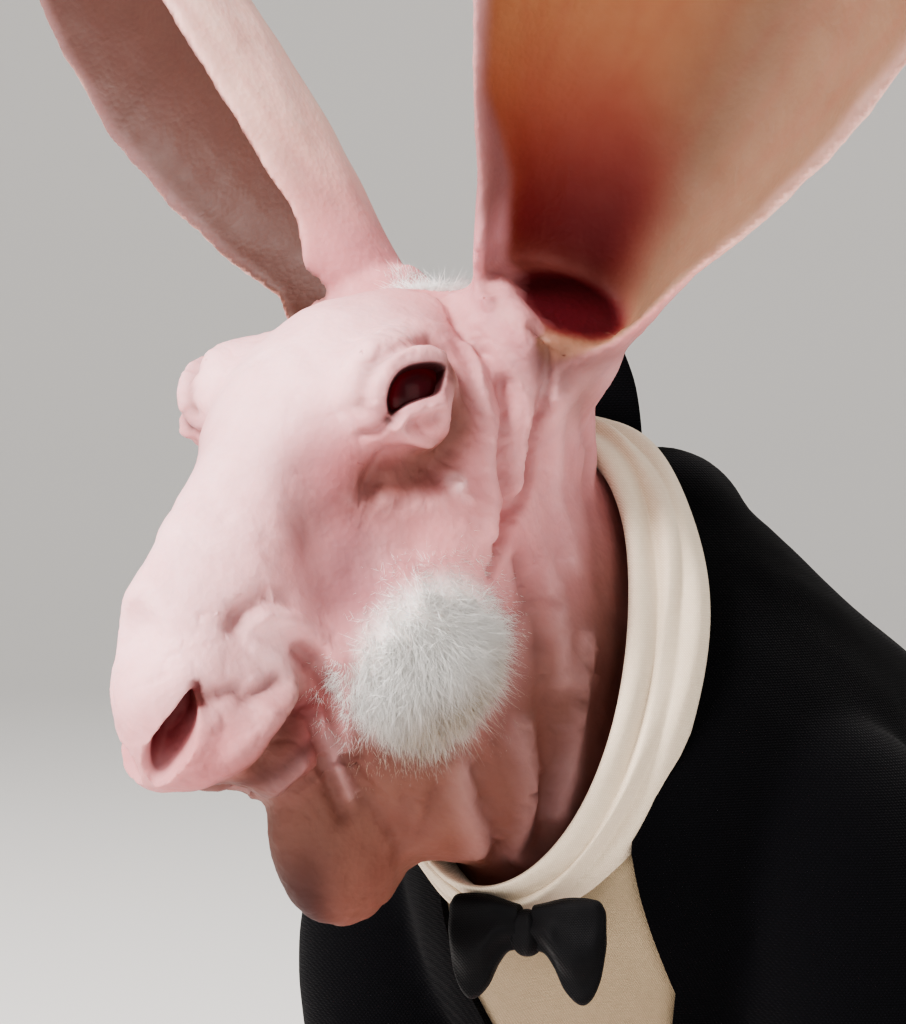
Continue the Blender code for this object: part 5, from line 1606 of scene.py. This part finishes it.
def claws():
    """Sixteen curved claws, as one piece."""
    made = []
    for mirror in SIDES.values():
        for (x, y, z), length, radius in CLAWS:
            root = Vector((mirror * x, y, z)) * MM
            rings = []
            for i in range(CLAW_STEPS + 1):
                share = i / CLAW_STEPS
                droop = Vector((0, 0, -CLAW_DROOP * MM)) * share**2
                centre = root + CLAW_DIRECTION * (length * MM * share) + droop
                size = radius * MM * (1 - 0.8 * share**1.6)
                side = Vector((1, 0, 0))
                rings.append(ring(centre, side, side.cross(CLAW_DIRECTION), size * 0.8, size, size, 16))
            made.append(loft("claw", rings))
    return smooth_look(join("claws", made), 60)


def hairs(name, skin, count, pick, lie_of, length, width, seed):
    """Fine tapered hairs rooted on the skin: pick weighs each face, lie_of gives the way they lie."""
    draw = np.random.default_rng(seed)
    mesh = skin.data
    mesh.calc_loop_triangles()
    corners = np.empty(len(mesh.loop_triangles) * 3, int)
    mesh.loop_triangles.foreach_get("vertices", corners)
    corners = corners.reshape(-1, 3)
    places = places_of(skin)
    normals = normals_of(skin)
    middles = places[corners].mean(axis=1)
    sides = places[corners[:, 1]] - places[corners[:, 0]], places[corners[:, 2]] - places[corners[:, 0]]
    area = np.linalg.norm(np.cross(*sides), axis=1)
    weight = pick(middles, normals[corners].mean(axis=1)) * area
    chosen = draw.choice(len(corners), count, p=weight / weight.sum())
    shares = draw.dirichlet((1, 1, 1), count)
    roots = (places[corners[chosen]] * shares[:, :, None]).sum(axis=1)
    out = normals[corners[chosen]].mean(axis=1)
    out /= np.linalg.norm(out, axis=1)[:, None]
    edge = pick(roots, out)
    lie = lie_of(roots, draw)
    lie -= out * (lie * out).sum(axis=1)[:, None]
    lie /= np.linalg.norm(lie, axis=1)[:, None]
    reach = draw.uniform(*length, count) * (0.25 + 0.75 * np.clip(edge, 0, 1)) * MM
    lift = draw.uniform(*HAIR_LIFT, count)
    curl = draw.normal(0, HAIR_CURL, (count, 3))
    points = []
    for share in (*HAIR_SECTIONS, 1.0):
        along = reach * share
        rise = reach * lift * (share - HAIR_BEND * share**2)
        middle = roots - out * HAIR_ROOT * MM + lie * along[:, None] + out * rise[:, None]
        points.append(middle + curl * (along * share)[:, None])
    return hair_mesh(name, points, width * MM * draw.uniform(*HAIR_WIDTHS, count), out, roots)


def hair_mesh(name, points, width, out, roots):
    """One closed three-sided spike for each hair, and the place of its root as its patch for baking."""
    count = len(roots)
    rows = []
    for level, centre in enumerate(points[:-1]):
        ahead = points[level + 1] - centre
        side = np.cross(ahead, out)
        side /= np.linalg.norm(side, axis=1)[:, None]
        up = np.cross(side, ahead)
        up /= np.linalg.norm(up, axis=1)[:, None]
        size = (width * (1 - 0.3 * level) / 2)[:, None]
        for turn in range(3):
            angle = 2 * math.pi * turn / 3
            rows.append(centre + side * size * math.cos(angle) + up * size * math.sin(angle))
    rows.append(points[-1])
    per = len(rows)
    verts = np.stack(rows, axis=1).reshape(-1, 3)
    faces = []
    for level in range(len(points) - 2):
        for turn in range(3):
            a, b = level * 3 + turn, level * 3 + (turn + 1) % 3
            faces.append((a, b, b + 3, a + 3))
    top = (len(points) - 2) * 3
    ends = [(top + turn, top + (turn + 1) % 3, per - 1) for turn in range(3)] + [(2, 1, 0)]
    bm_faces = []
    starts = np.arange(count) * per
    for face in faces + ends:
        bm_faces.extend((starts[:, None] + np.array(face)).tolist())
    mesh = bpy.data.meshes.new(name)
    mesh.from_pydata(verts.tolist(), [], bm_faces)
    obj = bpy.data.objects.new(name, mesh)
    bpy.context.scene.collection.objects.link(obj)
    corner_verts = np.empty(len(mesh.loops), int)
    mesh.loops.foreach_get("vertex_index", corner_verts)
    middle = roots.mean(axis=0)
    span = np.abs(roots - middle).max() * 2.2
    local = (roots - middle) @ np.array(HEAD_AXES) / span
    patch = np.stack([local[:, 0], local[:, 2]], axis=1) + 0.5
    level_of = np.concatenate([np.repeat(np.arange(len(points) - 1), 3), [len(points) - 1]])
    turn_of = np.concatenate([np.tile(np.arange(3), len(points) - 1), [0]])
    u = patch[corner_verts // per, 0] + turn_of[corner_verts % per] * 0.0012
    v = patch[corner_verts // per, 1] + level_of[corner_verts % per] * 0.0009
    layer = mesh.uv_layers.new(name="OFBake")
    layer.uv.foreach_set("vector", np.stack([u, v], axis=1).ravel())
    return smooth_look(obj)


def cheek_fur(name, mirror, skin, count, spread, length, width):
    """White fur on one cheek: it hangs a little, lies back, and has painted shade, beige then brown, toward
    the throat.
    """
    centre = np.array(in_head((CHEEK_CENTRE[0], mirror * CHEEK_OUT, CHEEK_CENTRE[1])))
    axes = np.array(HEAD_AXES)

    def pick(places, normals):
        local = (places - centre) @ axes / MM
        oval = (local[:, 0] / CHEEK_RADII[0]) ** 2 + (local[:, 2] / CHEEK_RADII[1]) ** 2
        facing = normals @ np.array(HEAD_SIDE) * mirror > FUR_FACING
        oval = oval * (1 + FUR_UNEVEN * waves(places, 9, 33))
        return np.clip(1.1 - oval / spread, 0, 1) * facing * (np.abs(local[:, 1]) < FUR_DEEP)

    def lie_of(roots, draw):
        away = (roots - centre) / (9 * MM)
        clump = np.stack([waves(roots, CLUMP_SIZE, seed) for seed in (51, 52, 53)], axis=1)
        hang = np.array(FACE) * -FUR_BACK + np.array((0, 0, -FUR_HANG))
        return hang + away * FUR_AWAY + clump * FUR_CLUMP + draw.normal(0, FUR_STRAY, roots.shape)

    fur = hairs(name, skin, count, pick, lie_of, length, width, FUR_SEED + mirror)
    places = places_of(fur)
    local = (places - centre) @ axes / MM
    paint = Paint(fur, WHITE_FUR)
    # Painted shade on the fur's lower side: beige, then brown
    low = down_the_fur(local[:, 0], local[:, 2]) + 1.2 * waves(places, 5, 31)
    paint.lay(FUR_SHADE_BEIGE, smooth_step(5.5, 11.5, low))
    paint.lay(FUR_SHADE_BROWN, smooth_step(11, 17, low) * 0.9)
    paint.finish()
    return fur


def crown_fur(skin):
    centre = np.array(in_head(CROWN_CENTRE))

    def pick(places, normals):
        far = np.linalg.norm((places - centre), axis=1) / MM
        return np.clip(1.3 - far / CROWN_RADIUS, 0, 1) * (normals[:, 2] > -0.3)

    def lie_of(roots, draw):
        return np.array((0.2, 0.3, 0.9)) + draw.normal(0, 0.45, roots.shape)

    fur = hairs("crown_fur", skin, CROWN_HAIRS, pick, lie_of, CROWN_HAIR_LENGTH, HAIR_WIDTH, FUR_SEED)
    paint = Paint(fur, WHITE_FUR)
    paint.finish()
    return fur


def fur_material():
    material, shader, tree = principled(
        "white fur",
        Roughness=0.75,
        Sheen_Weight=0.3,
        Sheen_Roughness=0.6,
        Subsurface_Weight=0.6,
        Subsurface_Radius=(1.0, 0.97, 0.93),
        Subsurface_Scale=0.0008,
    )
    tint = tree.add("ShaderNodeAttribute", attribute_name="tint")
    place = tree.add("ShaderNodeTexCoord")
    grain = tree.add("ShaderNodeTexNoise", {"Scale": 500})
    mix = tree.add("ShaderNodeMix", data_type="RGBA", blend_type="MULTIPLY")
    mix.inputs["B"].default_value = (0.985, 0.98, 0.965, 1)
    tree.join(
        ((place, "Object"), (grain, "Vector")),
        ((grain, "Fac"), (mix, "Factor")),
        ((tint, "Color"), (mix, "A")),
        ((mix, "Result"), (shader, "Base Color")),
    )
    return material


def knit_group():
    """Crossing rows of small knitted loops with some fuzz as a height, and the fuzz as a mask."""
    group, tree, given, made = new_group("knit", ("Loops per metre",), ("Height", "Fuzz"))
    place = tree.add("ShaderNodeTexCoord")
    wales = tree.add("ShaderNodeTexWave", {"Distortion": 1.2, "Detail": 1}, bands_direction="DIAGONAL")
    courses = tree.add("ShaderNodeTexWave", {"Distortion": 1.0, "Detail": 1}, bands_direction="Z")
    crossed = tree.add("ShaderNodeMath", operation="MULTIPLY")
    fuzz = tree.add("ShaderNodeTexNoise", {"Scale": 1400, "Detail": 3})
    total = tree.add("ShaderNodeMath", {1: 0.5}, operation="MULTIPLY_ADD")
    for wave in (wales, courses):
        tree.join(((place, "Object"), (wave, "Vector")), ((given, "Loops per metre"), (wave, "Scale")))
    tree.join(
        ((place, "Object"), (fuzz, "Vector")),
        ((wales, "Fac"), (crossed, 0)),
        ((courses, "Fac"), (crossed, 1)),
        ((fuzz, "Fac"), (total, 0)),
        ((crossed, 0), (total, 2)),
        ((total, 0), (made, "Height")),
        ((fuzz, "Fac"), (made, "Fuzz")),
    )
    return group


def cloth_material(name, knit, dark, light, loops, bump_height, roughness, sheen):
    """Knitted or woven cloth between two tones: its loops per metre, and their height in metres."""
    material, shader, tree = principled(
        name, Roughness=roughness, Sheen_Weight=sheen, Sheen_Roughness=0.45, Specular_IOR_Level=0.1
    )
    weave = tree.add("ShaderNodeGroup", node_tree=knit)
    weave.inputs["Loops per metre"].default_value = loops
    ramp = tree.ramp(dark, light, 0.25, 0.85)
    bump = tree.add("ShaderNodeBump", {"Strength": 0.6, "Distance": bump_height})
    tree.join(
        ((weave, "Height"), (ramp, "Fac")),
        ((ramp, "Color"), (shader, "Base Color")),
        ((weave, "Height"), (bump, "Height")),
        ((bump, "Normal"), (shader, "Normal")),
    )
    return material


def coat_outside():
    """The outside of the coat and its sleeves, whole, before it is cut open."""
    masses = [
        path_loft("coat trunk", TORSO_SECTIONS, grow=COAT_STAND_OFF),
        path_loft("coat neck", NECK_SECTIONS, grow=COAT_STAND_OFF),
        ellipsoid("fold", Vector(NAPE_FOLD[0]) * MM, Vector(NAPE_FOLD[1]) * MM),
    ]
    for mirror in SIDES.values():
        masses.append(path_loft("sleeve", SLEEVE_PATH, mirror, grow=COAT_STAND_OFF))
    form = fuse(join("coat", masses), FUSE_GRID, FUSE_ROUNDS)
    sculpt(form, CLOTH_STROKES, Vector(), BODY_AXES, (1, 1, 1))
    return form


def trim_cloth(shell):
    """Cuts a shell of cloth at the neck, at its hem and at the cuffs."""
    cut(shell, block(OPENING_AT - OPENING_NORMAL * COAT_EDGE_DEPTH, OPENING_NORMAL, 0.2))
    cut(shell, block(COAT_HEM_AT, COAT_HEM_NORMAL, 0.2))
    for mirror in SIDES.values():
        x, y, z = SLEEVE_PATH[-1][:3]
        radius, height = SLEEVE_CUT
        size = {"radius1": radius * MM, "radius2": radius * MM, "depth": height * MM}
        bm = bmesh.new()
        bmesh.ops.create_cone(bm, cap_ends=True, segments=40, **size)
        place = Vector((mirror * x, y, z - height / 2)) * MM
        bmesh.ops.translate(bm, vec=place, verts=bm.verts)
        cut(shell, add_object("cuff cut", bm))
    return shell


def layer(outside, name, under, thickness):
    """A shell of cloth at a depth under the coat's outside, in mm."""
    shell = grown(outside, name, -under * MM)
    inner = grown(outside, "inner", -(under + thickness) * MM)
    return trim_cloth(cut(shell, inner))


def garments(knit):
    """The coat, the collar's band, the bow and the shirt front, each with its finish."""
    outside = coat_outside()
    coat = layer(outside, "coat_cloth", 0, CLOTH_THICKNESS)
    cut(coat, prism("panel", FRONT_OUTLINE, FRONT_DEPTH))
    tab = path_loft("tab", NAPE_TAB, steps=6, points=32)
    coat = join("coat_cloth", [coat, tab])
    shirt = layer(outside, "shirt_cloth", CLOTH_THICKNESS + SHIRT_GAP, SHIRT_UNDER)
    cut(shirt, prism("panel", FRONT_OUTLINE, FRONT_DEPTH, grow=SHIRT_TUCK), "INTERSECT")
    bpy.data.objects.remove(outside)
    smooth_look(coat, CLOTH_EDGE)
    smooth_look(shirt, CLOTH_EDGE)
    finishes = [cloth_material(name, knit, *values) for name, *values in CLOTHS]
    pieces = (coat, collar_band(), bow_tie(), shirt)
    for piece, finish in zip(pieces, finishes):
        piece.data.materials.clear()
        piece.data.materials.append(finish)
    return pieces


def collar_band():
    """A soft band round the neck: a rolled inner rim, and gathers that run along the band outside it."""
    rows = smooth_rows(COLLAR_FINE + COLLAR_FINE[:1], 3)[:-1]
    rings = []
    for i in range(COLLAR_FINE_COUNT):
        angle = 2 * math.pi * i / COLLAR_FINE_COUNT
        points = []
        for j, (out, forward) in enumerate(rows):
            share = j / len(rows)
            gather = sum(rise * math.sin(count * angle + slant * share) for rise, count, slant in GATHERS)
            slack = gather * min(1.0, max(0.0, (out - 3.0) / 3.0))
            open_up = COLLAR_SLACK * max(0.0, math.cos(angle + SLACK_AT)) ** 2 * max(0.0, 1 - out / 9)
            throat = max(0.0, math.cos(angle + THROAT_AT)) ** 4
            out = COLLAR_TIGHT + (out - COLLAR_TIGHT) * (0.9 - 0.28 * throat) - 0.8 * throat
            wide = (COLLAR_HALF_WIDTH + out + slack + open_up) * math.cos(angle) * MM
            high = (COLLAR_HALF_HEIGHT + out + slack + open_up) * math.sin(angle) * MM
            place = OPENING_AT + Vector((wide, 0, 0)) + OPENING_UP * high
            points.append(place + OPENING_NORMAL * ((forward + 0.5 * slack) * MM))
        rings.append(points)
    return smooth_look(loft("collar_cloth", rings, round_again=True))


def bow_tie():
    """Two pleated wings and a knot."""
    across = Vector((math.cos(BOW_TURN), math.sin(BOW_TURN), 0))
    front = Vector((math.sin(BOW_TURN), -math.cos(BOW_TURN), 0))
    pieces = []
    for mirror in SIDES.values():
        rings = []
        rows = smooth_rows(WING_FINE, 8)
        for x, low, high, thick in rows:
            centre = BOW_AT + BOW_SHIFT + across * (mirror * x * MM) + Vector((0, 0, (low + high) / 2)) * MM
            half = (high - low) / 2 * MM
            points = []
            for i in range(72):
                angle = 2 * math.pi * i / 72
                pleat = 1 + PLEAT_DEPTH * math.cos(PLEATS * angle + 0.6) * min(1.0, 7 / max(x, 1))
                depth = math.cos(angle) * max(thick, 0.3) * pleat * MM
                points.append(centre + front * depth + Vector((0, 0, math.sin(angle) * half)))
            rings.append(points)
        pieces.append(loft("wing", rings))
    bm = bmesh.new()
    bmesh.ops.create_uvsphere(bm, u_segments=48, v_segments=32, radius=1)
    for vert in bm.verts:
        squeeze = 1 + KNOT_PLEAT_DEPTH * math.cos(KNOT_PLEATS * math.atan2(vert.co.y, vert.co.x))
        vert.co = Vector((vert.co.x * squeeze, vert.co.y * squeeze, vert.co.z))
        vert.co = BOW_AT + BOW_SHIFT + Vector([a * b * 0.8 * MM for a, b in zip(vert.co, KNOT_RADII)])
    pieces.append(add_object("knot", bm))
    return smooth_look(join("bow_cloth", pieces), 60)


def studio(shift):
    """A pale floor, soft light from the upper left of the view, and the camera at the photograph's angle."""
    back, right = camera_axes()
    bm = bmesh.new()
    rows = []
    for away, high in SWEEP:
        ends = [back * -away + right * reach + Vector((0, 0, high)) for reach in (-FLOOR_REACH, FLOOR_REACH)]
        rows.append([bm.verts.new(point) for point in ends])
    for low, high in zip(rows, rows[1:]):
        bm.faces.new((low[0], low[1], high[1], high[0]))
    floor = smooth_look(add_object("floor", bm))
    finish, _, _ = principled("studio floor", Base_Color=(0.86, 0.85, 0.83, 1), Roughness=0.85)
    floor.data.materials.append(finish)
    scene = bpy.context.scene
    world = bpy.data.worlds.new("studio")
    world.use_nodes = True
    background = world.node_tree.nodes["Background"]
    background.inputs["Color"].default_value = WORLD_TONE
    background.inputs["Strength"].default_value = WORLD_LIGHT
    scene.world = world
    eyes = EYES_AT + shift
    for name, offset, energy, size, colour in LIGHTS:
        light = bpy.data.lights.new(name, "AREA")
        light.energy = energy
        light.size = size
        light.color = colour
        lamp = bpy.data.objects.new(name, light)
        scene.collection.objects.link(lamp)
        lamp.location = eyes + Vector(offset)
        lamp.rotation_mode = "QUATERNION"
        lamp.rotation_quaternion = Vector(offset).to_track_quat("Z", "Y")
    camera = bpy.data.cameras.new("camera")
    camera.lens = CAMERA_LENS
    camera.sensor_width = CAMERA_SENSOR
    camera.clip_start = 0.01
    seen = bpy.data.objects.new("camera", camera)
    scene.collection.objects.link(seen)
    aim = eyes + right * CAMERA_AIM[0] + Vector((0, 0, CAMERA_AIM[1]))
    seen.location = aim + back * CAMERA_DISTANCE
    seen.rotation_mode = "QUATERNION"
    seen.rotation_quaternion = back.to_track_quat("Z", "Y")
    scene.camera = seen
    scene.view_settings.look = "AgX - Medium High Contrast"


def declare_sheets(coat, shirt, band, bow):
    """Works out half the area of each cloth's surface, and keeps nothing of it."""
    for piece, width, held, rests_on in (
        (coat, 0.30, "stretched", ["skin_front", "skin_rear"]),
        (shirt, 0.03, "laid", ["skin_rear"]),
        (band, 0.06, "gathered", ["skin_front"]),
        (bow, 0.022, "folded", ["collar_cloth"]),
    ):
        bm = bmesh.new()
        bm.from_mesh(piece.data)
        area = sum(face.calc_area() for face in bm.faces) / 2
        bm.free()


def model_shift():
    """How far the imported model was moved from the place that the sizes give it."""
    total = Vector()
    for side, mirror in SIDES.items():
        low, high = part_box(f"eye_{side}")
        f, out, up = EYE_NODE_AT
        total += (Vector(low) + Vector(high)) / 2 - in_head((f, mirror * out, up))
    return total / 2


def build():
    shift = model_shift()
    animal = fuse(join("animal", head_masses() + body_masses()), FUSE_GRID, FUSE_ROUNDS)
    drawn = cast_drawing(animal)
    front = front_skin(animal, drawn)
    rear = rear_skin(animal)
    bpy.data.objects.remove(animal)
    paint_front(front, drawn)
    paint_rear(rear)
    skin = skin_material(fine_grain_group())
    for piece in (front, rear):
        piece.data.materials.clear()
        piece.data.materials.append(skin)
        smooth_look(piece)
    fur = [crown_fur(front)]
    for side, mirror in SIDES.items():
        for kind, count, spread, length, width in (
            ("fur", CHEEK_HAIRS, HAIR_REACH, CHEEK_HAIR_LENGTH, HAIR_WIDTH),
            ("down", DOWN_HAIRS, DOWN_REACH, DOWN_HAIR_LENGTH, DOWN_WIDTH),
        ):
            fur.append(cheek_fur(f"cheek_{kind}_{side}", mirror, front, count, spread, length, width))
    white = fur_material()
    for piece in fur:
        piece.data.materials.append(white)
    ruby = eye_material()
    eyes = [eye(side, mirror) for side, mirror in SIDES.items()]
    for piece in eyes:
        piece.data.materials.append(ruby)
    nails = claws()
    nails.data.materials.append(horn_material())
    coat, band, bow, shirt = garments(knit_group())
    declare_sheets(coat, shirt, band, bow)
    stands_for = {
        front: ("head", "neck", "ear_left", "ear_right"),
        rear: ("torso", "tail", "foreleg_left", "foreleg_right", "thigh_left", "thigh_right"),
        nails: ("hind_foot_left", "hind_foot_right"),
        eyes[0]: ("eye_left",),
        eyes[1]: ("eye_right",),
        coat: ("coat",),
        shirt: ("shirt_front",),
        band: ("collar_band",),
        bow: ("bow_wing_left", "bow_wing_right", "bow_knot"),
    }
    for piece in (front, rear, nails, *fur, *eyes, coat, shirt, band, bow):
        piece.data.transform(Matrix.Translation(shift))
        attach(piece, "root")
        if piece in stands_for:
            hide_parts(*stands_for[piece])
    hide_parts("hind_foot_left", "hind_foot_right")
    studio(shift)


build()
